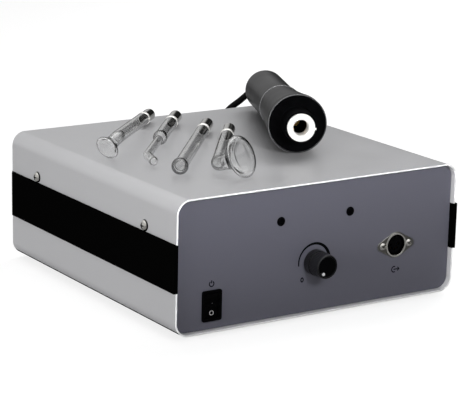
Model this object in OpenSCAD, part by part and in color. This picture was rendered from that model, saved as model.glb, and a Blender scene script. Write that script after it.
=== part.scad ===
// Bench-top high-frequency set: two-shell case, handpiece on a lead and four glass electrodes.
// Millimetres, Z up, front of the case faces -Y, origin at the bottom centre of the set.

/* [Case] */
// Width of the metal case
case_w = 228; // [220:1:260]
// Depth of the metal case
case_d = 230; // [226:1:260]
// Height of the metal case without feet
case_h = 92; // [88:1:110]
// Outer corner radius of the two shells
corner_r = 10; // [6:0.5:12]
// Thickness of the shell sheet
sheet_t = 1.2; // [1:0.1:1.4]
// Height of the rubber feet
foot_h = 3; // [2.5:0.5:5]
// How far the panels stand back behind the lips
panel_set = 4; // [3:0.5:5]
// Thickness of the front and rear panel
panel_t = 2; // [1.5:0.1:2.5]

/* [Side rails] */
// Height of the lower edge of the rails above the case floor
rail_low = 30.5; // [28:0.5:33]
// Height of the upper edge of the rails above the case floor
rail_high = 63; // [60:0.5:65]
// How far the rails stand out of the case sides
rail_proud = 2; // [1:0.1:2.5]

/* [Controls] */
// Knob diameter at the panel
knob_d = 17.6; // [16:0.2:20]
// Reach of the knob in front of the lips
knob_reach = 12; // [10:0.5:14]
// Distance of the knob axis from the middle of the panel
knob_x = -3; // [-8:0.5:4]
// Height of the knob axis above the case floor
knob_z = 36; // [34:0.5:40]
// Width of the switch bezel
switch_w = 15; // [15:0.1:16]
// Height of the switch bezel
switch_h = 21; // [21:0.1:22]

/* [Handpiece] */
// Diameter of the handpiece at its front rim
rim_d = 41.8; // [40:0.2:44]
// Diameter of the rear grip
grip_d = 30.8; // [30:0.2:32]
// Length of the handpiece from rear end to front rim
hand_len = 151; // [148:1:154]
// Bore of the electrode socket
socket_bore_d = 11; // [10.8:0.1:11.4]

/* [Electrodes] */
// Wall of the glass
glass_wall = 1; // [0.8:0.1:1.2]
// Diameter of the small disc head
disc_d = 17.4; // [16.6:0.2:18.2]
// Diameter of the large bell head
bell_d = 29.6; // [28:0.4:30.4]

/* [Hidden] */
$fn = 64;

fine = 32;
gap = 0.3;
slip = 0.1;
run_fit = 0.05;
half_w = case_w / 2;
y_front = knob_reach - (case_d + knob_reach) / 2;
y_rear = y_front + case_d;
z_floor = foot_h;
z_top = foot_h + case_h;
y_panel = y_front + panel_set;
y_back_panel = y_rear - panel_set - panel_t;
rail_in = half_w - 4.5;
rail_tongue = 11;
groove_d = 6;
screw_z = z_floor + 67;
screw_y = [y_front + 40, y_front + 190];
cover_head_r = 4;
cover_head_h = 2.8;
cover_shank_r = 1.9;
foot_r = 8;
foot_inset = 28;

// Places of the controls on the front panel
switch_x = -84.5;
switch_z = z_floor + 17.6;
lamp_x = [-31, 25.6];
lamp_z = z_floor + 67.4;
lamp_r = 3.2;
knob_axis_z = z_floor + knob_z;
din_x = 65.4;
din_z = z_floor + 38.7;
din_pitch = 22.3;
din_r = 8;

// Rocker switch
bezel_t = 1.6;
rocker_r = switch_h / 2 - 2;
rocker_half = switch_w / 2 - 2.2;
rocker_axis_y = y_panel + 0.4;
rocker_tilt = 10;
rocker_depth = 5;
rocker_pin_r = 1;
switch_body_w = switch_w - 2;
switch_body_h = switch_h - 1.8;
switch_body_d = 14;

// Knob and potentiometer
knob_r = knob_d / 2;
knob_front_r = knob_r - 0.4;
knob_step = 5.2;
knob_groove = 0.7;
knob_top_y = y_front - knob_reach;
knob_base_y = y_panel - 0.6;
knob_len = knob_base_y - knob_top_y;
knob_ribs = 30;
knob_rib_r = 0.5;
dot_angle = 215;
dot_r = 1.1;
dot_at = 5.6;
shaft_r = 3;
bush_r = 3.5;
pot_r = 8.5;
pot_d = 10;
nut_r = 5.8;
nut_t = 2;

// Mains inlet at the back
inlet_x = 62;
inlet_z = z_floor + 46;
inlet_pitch = 40;
inlet_w = 27;
inlet_h = 19.6;
inlet_d = 17;

// Inner works
core_w = 50;
core_d = 34;
core_h = 42;
core_x = 60;
core_y = y_rear - 92;
board_w = 110;
board_d = 90;
board_x = -40;
board_y = y_front + 110;
board_z = z_floor + 12;

// Handpiece placement: middle of the front rim and direction of the axis
rim_r = rim_d / 2;
grip_r = grip_d / 2;
hand_at = [30.3, -34, z_top + rim_r + 2 * gap];
hand_tilt = 90 - asin((rim_r - grip_r) / hand_len);
hand_turn = -115.3;
sleeve_len = 72;
hand_wall = 2;
boss_r = 11.2;
boss_len = 14;
bush_out_r = 9.8;
bush_proud = 2;
bush_back = 12;
socket_r = socket_bore_d / 2;
socket_depth = bush_back + boss_len + bush_proud - 3;
leaf_t = 0.6;
leaf_w = 4;
leaf_len = 18;
spring_r = 3;
spring_sink = 1.8;
leaf_turn = 110;
tab_turn = 85;
tab_w = 1.4;
tab_out = 0.8;
spring_z = boss_len + bush_proud - socket_depth - spring_sink;
relief_len = 14;

// Lead: diameter and route of its free run from the strain relief to the start of the coil
lead_d = 5;
lead_r = lead_d / 2;
hand_back = [sin(hand_tilt) * cos(hand_turn), sin(hand_tilt) * sin(hand_turn), cos(hand_tilt)];
lead_start = hand_at - (hand_len + relief_len) * hand_back;
coil_c = [15, 192];
coil_z = 3.6;
coil_in_r = 22;
coil_pitch = 5.6;
coil_turns = 6;
coil_turns_in = 3;
coil_steps = 24;
coil_out_r = coil_in_r + coil_turns_in * coil_pitch;
coil_entry = [coil_c[0] + lead_d, coil_c[1] - coil_out_r, coil_z];
lead_route = [
    lead_start,
    lead_start - 5 * hand_back,
    [102.6, 125, 108.4],
    [99, 131, 102.8],
    [93.2, 135, 96.4],
    [87.2, 137.4, 91.6],
    [82.8, 139, 86.6],
    [79.6, 140.5, 80],
    [77.5, 141, 72],
    [75.5, 141.5, 62],
    [74, 142, 50],
    [72, 143, 37.5],
    [68.5, 145, 26],
    [62.5, 148, 16.5],
    [53.5, 151, 9.5],
    [43, 152.5, 5.4],
    [32.5, coil_entry[1], 3.8],
    [26, coil_entry[1], coil_z],
    coil_entry
];
tail_len = 34;
plug_r = 8.2;

// Electrodes: place of the cap end, lean, heading and roll of each
cap_r = 4.6;
bead_r = 5.1;
bead_w = 2.6;
cap_len = 26;
cap_seat = 14.2;
cap_floor = 14;
neck_r = 3.9;
tube_r = 4.8;
lie_z = z_top + bead_r + gap;
disc_at = [-6.1, 107.1, z_top + cap_r + gap + 0.45];
disc_lean = 86;
disc_heading = -131.5;
disc_roll = -39.2;
disc_bend = 38.7;
disc_stem = 119.6;
disc_neck = 12;
disc_neck_r = 4.6;
disc_t = 3.6;
hook_at = [9, 93.6, lie_z];
hook_heading = -130;
hook_roll = 78.9;
hook_bend = 29.6;
hook_stem = 133.4;
hook_step = 76.4;
hook_collar_r = 5.1;
hook_thin_r = 3;
hook_stub = 10;
ball_at = [15.3, 59.8, lie_z];
ball_heading = -129.8;
ball_len = 141.5;
ball_r = 5.8;
bell_at = [20, 37.5, lie_z];
bell_lean = 89.5;
bell_heading = -126.7;
bell_roll = 115.7;
bell_bend = 64.9;
bell_stem = 118.8;
bell_neck = 19;
bell_neck_r = 5;
bell_t = 5.4;
seam_more = 0.15;
seam_half = 0.8;
seam_gap = 0.3;

// Start of every glass: neck in the cap and shoulder in front of it
glass_root = [
    [neck_r, cap_seat],
    [neck_r, cap_len],
    [tube_r - 0.4, cap_len + 0.5],
    [tube_r, cap_len + 1.5]
];

// Rounded rectangle with true arcs, centred
module round_rect(w, h, r) {
    square([w - 2 * r, h], center = true);
    square([w, h - 2 * r], center = true);
    for (sx = [-1, 1])
        for (sz = [-1, 1])
            translate([sx * (w / 2 - r), sz * (h / 2 - r)])
                circle(r);
}

// Extrusion of a drawing in X and Z along Y from y0 over len
module along_y(y0, len) {
    translate([0, y0 + len, 0])
        rotate([90, 0, 0])
            linear_extrude(len)
                children();
}

// Cylinder along +Y
module rod_y(x, y, z, r, len) {
    translate([x, y, z])
        rotate([-90, 0, 0])
            cylinder(r = r, h = len);
}

// Cross section of the two shells before they are parted
module shell_section() {
    translate([0, z_floor + case_h / 2])
        difference() {
            round_rect(case_w, case_h, corner_r);
            round_rect(case_w - 2 * sheet_t, case_h - 2 * sheet_t, corner_r - sheet_t);
        }
}

module top_cover() {
    color("silver")
        difference() {
            along_y(y_front, case_d)
                intersection() {
                    shell_section();
                    translate([-case_w, z_floor + rail_high - groove_d + slip])
                        square([2 * case_w, case_h]);
                }
            for (y = screw_y)
                translate([-case_w, y, screw_z])
                    rotate([0, 90, 0])
                        cylinder(r = cover_shank_r + slip, h = 2 * case_w);
        }
}

module base_tray() {
    color("silver")
        difference() {
            along_y(y_front, case_d)
                intersection() {
                    shell_section();
                    translate([-case_w, 0])
                        square([2 * case_w, z_floor + rail_low + groove_d - slip]);
                }
            for (x = [-1, 1])
                for (y = [y_front + foot_inset, y_rear - foot_inset])
                    translate([x * (half_w - foot_inset), y, z_floor - 1])
                        cylinder(r = 1.6, h = sheet_t + 2);
        }
}

// Cross section of the right rail
module rail_section() {
    difference() {
        translate([rail_in, z_floor + rail_low])
            square([half_w + rail_proud - rail_in, rail_high - rail_low]);
        translate([half_w - sheet_t - slip, z_floor + rail_high - groove_d])
            square([sheet_t + 2 * slip, groove_d + 1]);
        translate([half_w - sheet_t - slip, z_floor + rail_low - 1])
            square([sheet_t + 2 * slip, groove_d + 1]);
    }
    translate([rail_in, z_floor + rail_low - rail_tongue])
        square([half_w - sheet_t - slip - rail_in, rail_high - rail_low + 2 * rail_tongue]);
}

module side_rail() {
    difference() {
        along_y(y_front, case_d)
            rail_section();
        for (y = [y_front - 1, y_back_panel - slip])
            translate([rail_in - 1, y, 0])
                cube([half_w - sheet_t - slip - rail_in + 1, panel_set + panel_t + slip + 1, 2 * case_h]);
        for (y = screw_y)
            translate([rail_in - 1, y, screw_z])
                rotate([0, 90, 0])
                    cylinder(r = cover_shank_r + run_fit, h = 10);
    }
}

module side_rail_right() {
    color("#141416")
        side_rail();
}

module side_rail_left() {
    color("#141416")
        mirror([1, 0, 0])
            side_rail();
}

module panel_plate() {
    translate([0, z_floor + case_h / 2])
        round_rect(case_w - 2 * sheet_t - 0.8, case_h - 2 * sheet_t - 0.8, corner_r - sheet_t - 0.4);
}

module front_panel() {
    color("#5a5a63")
        along_y(y_panel, panel_t)
            difference() {
                panel_plate();
                translate([switch_x, switch_z])
                    square([switch_body_w + 2 * slip, switch_body_h + 2 * slip], center = true);
                translate([knob_x, knob_axis_z])
                    circle(bush_r + slip);
                for (x = lamp_x)
                    translate([x, lamp_z])
                        circle(2.6);
                translate([din_x, din_z]) {
                    circle(din_r + slip);
                    for (s = [-1, 1])
                        translate([s * din_pitch / 2, 0])
                            circle(1.6);
                }
            }
}

module rear_panel() {
    color("#5a5a63")
        along_y(y_back_panel, panel_t)
            difference() {
                panel_plate();
                translate([inlet_x, inlet_z]) {
                    square([inlet_w + 2 * slip, inlet_h + 2 * slip], center = true);
                    for (s = [-1, 1])
                        translate([s * inlet_pitch / 2, 0])
                            circle(1.6);
                }
            }
}

// Domed screw head with a cross recess, axis along +Z, underside at z = 0
module dome_head(r, h) {
    difference() {
        rotate_extrude()
            intersection() {
                translate([0, h - (r * r + h * h) / (2 * h)])
                    circle((r * r + h * h) / (2 * h));
                square([r, h]);
            }
        for (a = [0, 90])
            rotate(a)
                translate([-r * 0.5, -r * 0.1, h - r * 0.32])
                    cube([r, r * 0.2, r]);
    }
}

module cover_screws() {
    color("#c9c9cc")
        for (s = [-1, 1])
            for (y = screw_y)
                translate([s * half_w, y, screw_z])
                    rotate([0, s * 90, 0]) {
                        dome_head(cover_head_r, cover_head_h);
                        translate([0, 0, -5])
                            cylinder(r = cover_shank_r, h = 5.01);
                    }
}

module at_feet() {
    for (sx = [-1, 1])
        for (y = [y_front + foot_inset, y_rear - foot_inset])
            translate([sx * (half_w - foot_inset), y, 0])
                children();
}

module rubber_feet() {
    color("#1b1b1b")
        at_feet()
            difference() {
                cylinder(r1 = foot_r - 1, r2 = foot_r, h = foot_h);
                translate([0, 0, -1])
                    cylinder(r = 3.4, h = foot_h - 0.2);
                cylinder(r = 1.6, h = foot_h + 1);
            }
}

module foot_screws() {
    color("#c9c9cc")
        at_feet() {
            translate([0, 0, foot_h - 1.2 - 0.8])
                cylinder(r = 3, h = 0.8);
            translate([0, 0, foot_h - 1.2])
                cylinder(r = 1.5, h = 8);
            translate([0, 0, foot_h + sheet_t])
                cylinder(r = 3.2, h = 2.4, $fn = 6);
        }
}

module switch_housing() {
    color("#121214")
        translate([switch_x, 0, switch_z])
            difference() {
                union() {
                    along_y(y_panel - bezel_t, bezel_t)
                        round_rect(switch_w, switch_h, 1.6);
                    along_y(y_panel - 0.01, switch_body_d)
                        square([switch_body_w, switch_body_h], center = true);
                }
                translate([-rocker_half - gap, y_panel - bezel_t - 1, -rocker_r - gap])
                    cube([2 * (rocker_half + gap), bezel_t + 1 + 8, 2 * (rocker_r + gap)]);
                translate([-rocker_half - 1.2, rocker_axis_y, 0])
                    rotate([0, 90, 0])
                        cylinder(r = rocker_pin_r + run_fit, h = 2 * (rocker_half + 1.2));
            }
}

// Side view of the rocker in Y and Z: a disc about the pivot, cut by the two pressing faces
module rocker_section() {
    intersection() {
        circle(rocker_r);
        polygon([
            [0.2, 0], [-1.4, rocker_r], [rocker_depth, rocker_r],
            [rocker_depth, -rocker_r], [-1.4, -rocker_r]
        ]);
    }
}

module switch_rocker() {
    color("#0d0d0f")
        translate([switch_x, rocker_axis_y, switch_z])
            rotate([rocker_tilt, 0, 0]) {
                rotate([90, 0, 90])
                    linear_extrude(2 * rocker_half, center = true)
                        rocker_section();
                rotate([0, 90, 0])
                    cylinder(r = rocker_pin_r, h = 2 * (rocker_half + 1), center = true);
            }
}

module switch_terminals() {
    color("#b9a46a")
        for (dz = [-5, 5])
            translate([switch_x - 2.4, y_panel + switch_body_d - 0.01, switch_z + dz - 0.4])
                cube([4.8, 9, 0.8]);
}

module pot_body() {
    color("#9a9a9c")
        translate([knob_x, 0, knob_axis_z])
            difference() {
                union() {
                    rod_y(0, y_panel + panel_t, 0, pot_r, pot_d);
                    rod_y(0, y_panel - nut_t - 0.8, 0, bush_r, nut_t + panel_t + 1);
                }
                rod_y(0, y_panel - 10, 0, shaft_r + run_fit, 10 + panel_t + 6);
            }
}

module pot_nut() {
    color("#c9c9cc")
        translate([knob_x, y_panel - nut_t, knob_axis_z])
            rotate([-90, 0, 0])
                difference() {
                    cylinder(r = nut_r, h = nut_t, $fn = 6);
                    translate([0, 0, -1])
                        cylinder(r = bush_r + run_fit, h = nut_t + 2);
                }
}

module pot_shaft() {
    color("#c9c9cc")
        rod_y(knob_x, knob_top_y + 4, knob_axis_z, shaft_r, y_panel + panel_t + 5 - knob_top_y - 4);
}

module control_knob() {
    color("#0f0f10")
        translate([knob_x, knob_base_y, knob_axis_z])
            rotate([90, 0, 0])
                difference() {
                    rotate_extrude()
                        polygon([
                            [0, 0], [knob_r, 0], [knob_r, knob_step],
                            [knob_r - knob_groove, knob_step + 0.2],
                            [knob_r - knob_groove, knob_step + 0.9],
                            [knob_r - 0.2, knob_step + 1.2],
                            [knob_front_r, knob_len - 0.7],
                            [knob_front_r - 0.7, knob_len],
                            [0, knob_len]
                        ]);
                    translate([0, 0, -1])
                        cylinder(r = nut_r + 0.7, h = 4);
                    cylinder(r = shaft_r + 0.01, h = knob_len - 4);
                    for (i = [0 : knob_ribs - 1])
                        rotate(i * 360 / knob_ribs)
                            translate([knob_r, 0, knob_step + 1.8])
                                cylinder(r = knob_rib_r, h = knob_len - knob_step - 3.4, $fn = 12);
                    rotate(-dot_angle + 90)
                        translate([dot_at, 0, knob_len - 0.5])
                            cylinder(r = dot_r, h = 1);
                }
}

module knob_dot() {
    color("white")
        translate([knob_x, knob_base_y, knob_axis_z])
            rotate([90, 0, 0])
                rotate(-dot_angle + 90)
                    translate([dot_at, 0, knob_len - 0.5])
                        cylinder(r = dot_r, h = 0.5);
}

module indicator_lamps() {
    color("#101012")
        for (x = lamp_x)
            translate([x, y_panel, lamp_z])
                rotate([90, 0, 0]) {
                    cylinder(r = lamp_r, h = 0.8);
                    intersection() {
                        translate([0, 0, 0.8 - 1.6])
                            sphere(r = 3);
                        cylinder(r = 2.6, h = 4);
                    }
                    translate([0, 0, -panel_t - 7])
                        cylinder(r = 2.5, h = panel_t + 7.01);
                }
}

module socket_flange() {
    color("#cfcfd2")
        translate([din_x, 0, din_z])
            difference() {
                union() {
                    along_y(y_panel - 1, 1)
                        hull() {
                            circle(9.2);
                            for (s = [-1, 1])
                                translate([s * 12.6, 0])
                                    circle(3.1, $fn = fine);
                        }
                    rod_y(0, y_panel - 1.5, 0, din_r + 0.4, 1);
                    rod_y(0, y_panel - 0.51, 0, din_r, 14.5);
                }
                rod_y(0, y_panel - 2, 0, din_r - 0.6, 18);
                for (s = [-1, 1])
                    rod_y(s * din_pitch / 2, y_panel - 2, 0, 1.6, 4);
            }
}

module at_contacts() {
    for (i = [0 : 4])
        translate([din_x + 3.5 * cos(i * 45), 0, din_z - 3.5 * sin(i * 45)])
            children();
}

module socket_insert() {
    color("#161618")
        difference() {
            union() {
                rod_y(din_x, y_panel + 0.6, din_z, 6.2, 10);
                rod_y(din_x, y_panel + 9, din_z, din_r - 0.6, 5);
            }
            at_contacts()
                rod_y(0, y_panel - 1, 0, 0.9, 20);
            translate([din_x - 1, y_panel, din_z + 4.7])
                cube([2, 7, 3]);
        }
}

module socket_contacts() {
    color("#c8a860")
        at_contacts()
            difference() {
                rod_y(0, y_panel + 2, 0, 0.9, 16);
                rod_y(0, y_panel + 1, 0, 0.7, 10);
            }
}

module socket_screws() {
    color("#d0d0d2")
        for (s = [-1, 1])
            translate([din_x + s * din_pitch / 2, y_panel - 1, din_z])
                rotate([90, 0, 0]) {
                    dome_head(2.7, 1.6);
                    translate([0, 0, -7])
                        cylinder(r = 1.5, h = 7.01);
                    translate([0, 0, -panel_t - 1 - 2.2])
                        cylinder(r = 2.9, h = 2.2, $fn = 6);
                }
}

module mains_inlet() {
    color("#17171a")
        translate([inlet_x, 0, inlet_z])
            difference() {
                union() {
                    along_y(y_back_panel + panel_t, 2.4)
                        difference() {
                            round_rect(48, 22.6, 3);
                            for (s = [-1, 1])
                                translate([s * inlet_pitch / 2, 0])
                                    circle(1.6);
                        }
                    along_y(y_back_panel + panel_t - inlet_d, inlet_d + 0.01)
                        square([inlet_w, inlet_h], center = true);
                }
                along_y(y_back_panel + panel_t - inlet_d + 2.2, inlet_d + 4)
                    polygon([[-12, -8], [12, -8], [12, 3], [7.5, 8], [-7.5, 8], [-12, 3]]);
                for (p = [[-7, -2], [0, 2], [7, -2]])
                    translate([p[0] - 1, y_back_panel + panel_t - inlet_d - 1, p[1] - 2])
                        cube([2, 6, 4]);
            }
}

module inlet_pins() {
    color("#c9c9c4")
        for (p = [[-7, -2], [0, 2], [7, -2]])
            translate([inlet_x + p[0] - 1, y_back_panel + panel_t - inlet_d - 7, inlet_z + p[1] - 2])
                cube([2, inlet_d + 4, 4]);
}

module inlet_screws() {
    color("#c9c9cc")
        for (s = [-1, 1])
            translate([inlet_x + s * inlet_pitch / 2, y_back_panel + panel_t + 2.4, inlet_z])
                rotate([-90, 0, 0]) {
                    dome_head(2.8, 1.5);
                    translate([0, 0, -9])
                        cylinder(r = 1.5, h = 9.01);
                    translate([0, 0, -2.4 - panel_t - 2.4])
                        cylinder(r = 3, h = 2.4, $fn = 6);
                }
}

module transformer_core() {
    color("#6a6a6c")
        translate([core_x, core_y, z_floor + sheet_t])
            difference() {
                union() {
                    translate([-core_w / 2, -core_d / 2, 2])
                        cube([core_w, core_d, core_h]);
                    translate([-core_w / 2 - 9, -core_d / 2 + 5, 0])
                        cube([core_w + 18, core_d - 10, 2]);
                }
                for (s = [-1, 1])
                    translate([s * core_w / 4 - 5, -core_d, 10])
                        cube([10, 2 * core_d, core_h - 16]);
                for (s = [-1, 1])
                    translate([s * (core_w / 2 + 4.5), 0, -1])
                        cylinder(r = 1.7, h = 4);
            }
}

module transformer_winding() {
    color("#8a5a2a")
        translate([core_x, core_y, z_floor + sheet_t + 10.2])
            difference() {
                linear_extrude(core_h - 16.4)
                    round_rect(core_w / 2 + 19.4, core_d + 19, 4);
                translate([-core_w / 4 + 4.9, -core_d / 2 - slip, -1])
                    cube([core_w / 2 - 9.8, core_d + 2 * slip, core_h]);
                for (s = [-1, 1])
                    translate([s * (core_w / 4 + 5 + 10) - 10.1, -core_d / 2 - slip, -1])
                        cube([20.2, core_d + 2 * slip, core_h]);
            }
}

module transformer_screws() {
    color("#c9c9cc")
        for (s = [-1, 1])
            translate([core_x + s * (core_w / 2 + 4.5), core_y, z_floor + sheet_t + 2]) {
                dome_head(3, 1.8);
                translate([0, 0, -2])
                    cylinder(r = 1.5, h = 2.01);
            }
}

module at_posts() {
    for (sx = [-1, 1])
        for (sy = [-1, 1])
            translate([board_x + sx * (board_w / 2 - 5), board_y + sy * (board_d / 2 - 5), 0])
                children();
}

module circuit_board() {
    color("#2f6b3a")
        difference() {
            translate([board_x - board_w / 2, board_y - board_d / 2, board_z])
                cube([board_w, board_d, 1.6]);
            at_posts()
                translate([0, 0, board_z - 1])
                    cylinder(r = 1.6, h = 4);
        }
}

module board_posts() {
    color("#c8b070")
        at_posts()
            translate([0, 0, z_floor + sheet_t])
                difference() {
                    cylinder(r = 3.4, h = board_z - z_floor - sheet_t, $fn = 6);
                    translate([0, 0, 3])
                        cylinder(r = 1.5, h = board_z);
                }
}

module board_screws() {
    color("#c9c9cc")
        at_posts()
            translate([0, 0, board_z + 1.6]) {
                dome_head(2.9, 1.7);
                translate([0, 0, -6])
                    cylinder(r = 1.45, h = 6.01);
            }
}

module heat_sink() {
    color("#b8b8ba")
        translate([board_x - 40, board_y + 18, board_z + 1.6]) {
            cube([36, 3, 32]);
            for (i = [0 : 6])
                translate([i * 5.7, 2.99, 0])
                    cube([1.8, 12, 32]);
        }
}

module transistor() {
    color("#202022")
        translate([board_x - 27, board_y + 13.4, board_z + 1.6 + 10]) {
            cube([10, 4.6, 9.2]);
            translate([0, 3.3, 9.19])
                cube([10, 1.3, 6]);
            for (i = [-1 : 1])
                translate([5 + i * 2.54 - 0.4, 2, -10])
                    cube([0.8, 0.6, 10.01]);
        }
}

module capacitors() {
    color("#23304a")
        for (p = [[20, -20, 9, 30], [42, -20, 9, 30], [20, 6, 6.5, 20], [-10, -26, 6.5, 20]])
            translate([board_x + p[0], board_y + p[1], board_z + 1.6])
                cylinder(r = p[2], h = p[3]);
}

// Frame of the handpiece: z = 0 at the front rim, +Z out of the socket
module in_hand() {
    translate(hand_at)
        rotate([0, hand_tilt, hand_turn])
            children();
}

module handpiece_grip() {
    color("#1d1d1f")
        in_hand()
            rotate_extrude()
                polygon([
                    [grip_r - hand_wall, -hand_len], [grip_r - 1.2, -hand_len], [grip_r, -hand_len + 1.2],
                    [grip_r, -sleeve_len], [grip_r - hand_wall, -sleeve_len]
                ]);
}

module handpiece_sleeve() {
    color("#1d1d1f")
        in_hand()
            rotate_extrude()
                polygon([
                    [grip_r - hand_wall, -sleeve_len], [grip_r - 0.4, -sleeve_len],
                    [grip_r + 0.5, -sleeve_len + 1], [grip_r + 1.4, -sleeve_len + 20],
                    [rim_r - 0.6, -10], [rim_r, -6], [rim_r, -1.2], [rim_r - 1.2, 0],
                    [rim_r - hand_wall, 0], [rim_r - hand_wall, -6], [rim_r - hand_wall - 1, -10],
                    [grip_r - hand_wall + 0.9, -sleeve_len + 20]
                ]);
}

module handpiece_nose() {
    color("#0c0c0d")
        in_hand()
            rotate_extrude()
                polygon([
                    [bush_out_r, -5], [rim_r - hand_wall, -5], [rim_r - hand_wall, -0.6],
                    [boss_r + 0.6, -0.6], [boss_r, boss_len - 0.8], [boss_r - 0.6, boss_len],
                    [bush_out_r, boss_len]
                ]);
}

module socket_bush() {
    color("white")
        in_hand()
            difference() {
                union() {
                    translate([0, 0, -bush_back])
                        cylinder(r = bush_out_r, h = bush_back + boss_len + bush_proud);
                    rotate(tab_turn)
                        translate([socket_r + 2, -tab_w / 2, boss_len + gap])
                            cube([bush_out_r + tab_out - socket_r - 2, tab_w, bush_proud - 2 * gap]);
                }
                translate([0, 0, boss_len + bush_proud - socket_depth])
                    cylinder(r = socket_r, h = socket_depth + 1);
                translate([0, 0, spring_z])
                    cylinder(r = spring_r + slip, h = spring_sink + 1);
                rotate(leaf_turn)
                    translate([-socket_r - leaf_t - slip, -leaf_w / 2 - slip, spring_z])
                        cube([socket_r, leaf_w + 2 * slip, leaf_len + slip]);
                translate([0, 0, boss_len + bush_proud - 1])
                    cylinder(r1 = socket_r, r2 = socket_r + 0.9, h = 1.01);
            }
}

module contact_spring() {
    color("#c9963a")
        in_hand()
            translate([0, 0, spring_z])
                rotate(leaf_turn) {
                    cylinder(r = spring_r, h = leaf_t);
                    translate([-socket_r - leaf_t, -leaf_w / 2, 0])
                        cube([socket_r, leaf_w, leaf_t]);
                    translate([-socket_r - leaf_t, -leaf_w / 2, 0])
                        cube([leaf_t, leaf_w, leaf_len]);
                }
}

module coil_former() {
    color("#e6ded0")
        in_hand()
            translate([0, 0, -hand_len + 12])
                difference() {
                    union() {
                        cylinder(r = 7, h = hand_len - 12 - bush_back - 0.5);
                        for (z = [8, hand_len - 60])
                            translate([0, 0, z])
                                cylinder(r = grip_r - hand_wall - 0.2, h = 2);
                    }
                    translate([0, 0, -1])
                        cylinder(r = 4, h = hand_len);
                }
}

module coil_winding() {
    color("#a8622a")
        in_hand()
            translate([0, 0, -hand_len + 22.2])
                difference() {
                    cylinder(r = 11.5, h = hand_len - 70.4);
                    translate([0, 0, -1])
                        cylinder(r = 7.05, h = hand_len);
                }
}

module end_cap() {
    color("#161618")
        in_hand()
            translate([0, 0, -hand_len])
                difference() {
                    cylinder(r = grip_r - hand_wall - 0.02, h = 5);
                    translate([0, 0, -1])
                        cylinder(r = 4, h = 7);
                }
}

module strain_relief() {
    color("#121213")
        in_hand()
            rotate_extrude()
                polygon([
                    [0, -hand_len - relief_len], [lead_r + 0.6, -hand_len - relief_len],
                    [4.6, -hand_len - 0.05], [3.95, -hand_len], [3.95, -hand_len + 5.2],
                    [5.2, -hand_len + 5.3], [5.2, -hand_len + 8], [0, -hand_len + 8]
                ]);
}

// Smooth point between b and c of four route points
function between(a, b, c, d, t) =
    0.5 * (2 * b + (c - a) * t + (2 * a - 5 * b + 4 * c - d) * t * t + (3 * b - a - 3 * c + d) * t * t * t);

// Route with n points between each pair
function smooth(p, n) = [
    for (i = [0 : len(p) - 2])
        for (k = [0 : n - 1])
            between(p[max(i - 1, 0)], p[i], p[i + 1], p[min(i + 2, len(p) - 1)], k / n),
    p[len(p) - 1]
];

function unit(v) = v / norm(v);
function heading(p, i) = unit(p[min(i + 1, len(p) - 1)] - p[max(i - 1, 0)]);
function side(t, ref) = unit(cross(ref, t));

// Tube of r along the points p with n sides; end faces square to first and last, sides counted from ref
module tube(p, r, n, first, last, ref) {
    m = len(p);
    rings = [
        for (i = [0 : m - 1])
            let (t = i == 0 ? first : i == m - 1 ? last : heading(p, i), a = side(t, ref), b = cross(t, a))
                for (k = [0 : n - 1])
                    p[i] + r * (cos(360 * k / n) * a + sin(360 * k / n) * b)
    ];
    walls = [
        for (i = [0 : m - 2])
            for (k = [0 : n - 1])
                let (k2 = (k + 1) % n)
                    each [
                        [i * n + k, (i + 1) * n + k, i * n + k2],
                        [i * n + k2, (i + 1) * n + k, (i + 1) * n + k2]
                    ]
    ];
    caps = [
        for (k = [1 : n - 2])
            each [[0, k, k + 1], [(m - 1) * n, (m - 1) * n + k + 1, (m - 1) * n + k]]
    ];
    polyhedron(points = rings, faces = concat(walls, caps), convexity = 10);
}

module lead_run() {
    color("#101011")
        tube(smooth(lead_route, 2), lead_r, 10, -hand_back, [-1, 0, 0], [0, -1, 1]);
}

// Coil of two layers: in on the lower, half a turn to climb, out on the upper
function coil_radius(t) =
    let (turn_back = coil_turns_in + 0.25)
        t < turn_back ? coil_out_r - coil_pitch * t : coil_out_r - coil_pitch * (2 * turn_back - t);
function coil_height(t) = coil_z + coil_pitch * min(max((t - coil_turns_in) * 2, 0), 1);
function coil_point(t) =
    let (a = -90 - 360 * t, r = coil_radius(t))
        [coil_c[0] + r * cos(a), coil_c[1] + r * sin(a), coil_height(t)];
coil_end = coil_point(coil_turns) - [lead_d, 0, 0];
coil_path = concat(
    [coil_entry],
    [for (i = [0 : coil_turns * coil_steps]) coil_point(i / coil_steps)],
    [coil_end]
);

// Least gap of the coil to itself, between points that are at least half a turn apart
coil_gap = min([
    for (i = [0 : len(coil_path) - 1])
        for (j = [i + coil_steps / 2 : 1 : len(coil_path) - 1])
            norm(coil_path[i] - coil_path[j])
]) - lead_d;
echo(coil_gap = coil_gap);

module lead_coil() {
    color("#101011")
        tube(coil_path, lead_r, 6, [-1, 0, 0], [-1, 0, 0], [0, 0, 1]);
}

module lead_tie() {
    tie_in = coil_in_r - coil_pitch / 4 - lead_r - 0.5;
    tie_out = coil_out_r + lead_r + 0.5;
    tie_h = coil_pitch + lead_d + 0.6;
    color("#2a2a2c")
        translate([coil_c[0] + tie_in - 1, coil_c[1] - 4, coil_z - lead_r - 0.3 - 0.8])
            difference() {
                cube([tie_out - tie_in + 2, 8, tie_h + 1.6]);
                translate([1, -1, 0.8])
                    cube([tie_out - tie_in, 10, tie_h]);
            }
}

module lead_tail() {
    color("#101011")
        translate(coil_end)
            rotate([0, -90, 0])
                cylinder(r = lead_r, h = tail_len, $fn = 10);
}

// Frame of the plug: z = 0 where the lead enters, +Z toward the pins
module in_plug() {
    translate(coil_end - [tail_len, 0, 0])
        rotate([0, -90, 0])
            children();
}

module plug_boot() {
    color("#151517")
        in_plug()
            rotate_extrude()
                polygon([[0, 0], [lead_r + 0.8, 0], [4.4, 10], [plug_r, 14], [plug_r, 36], [0, 36]]);
}

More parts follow.
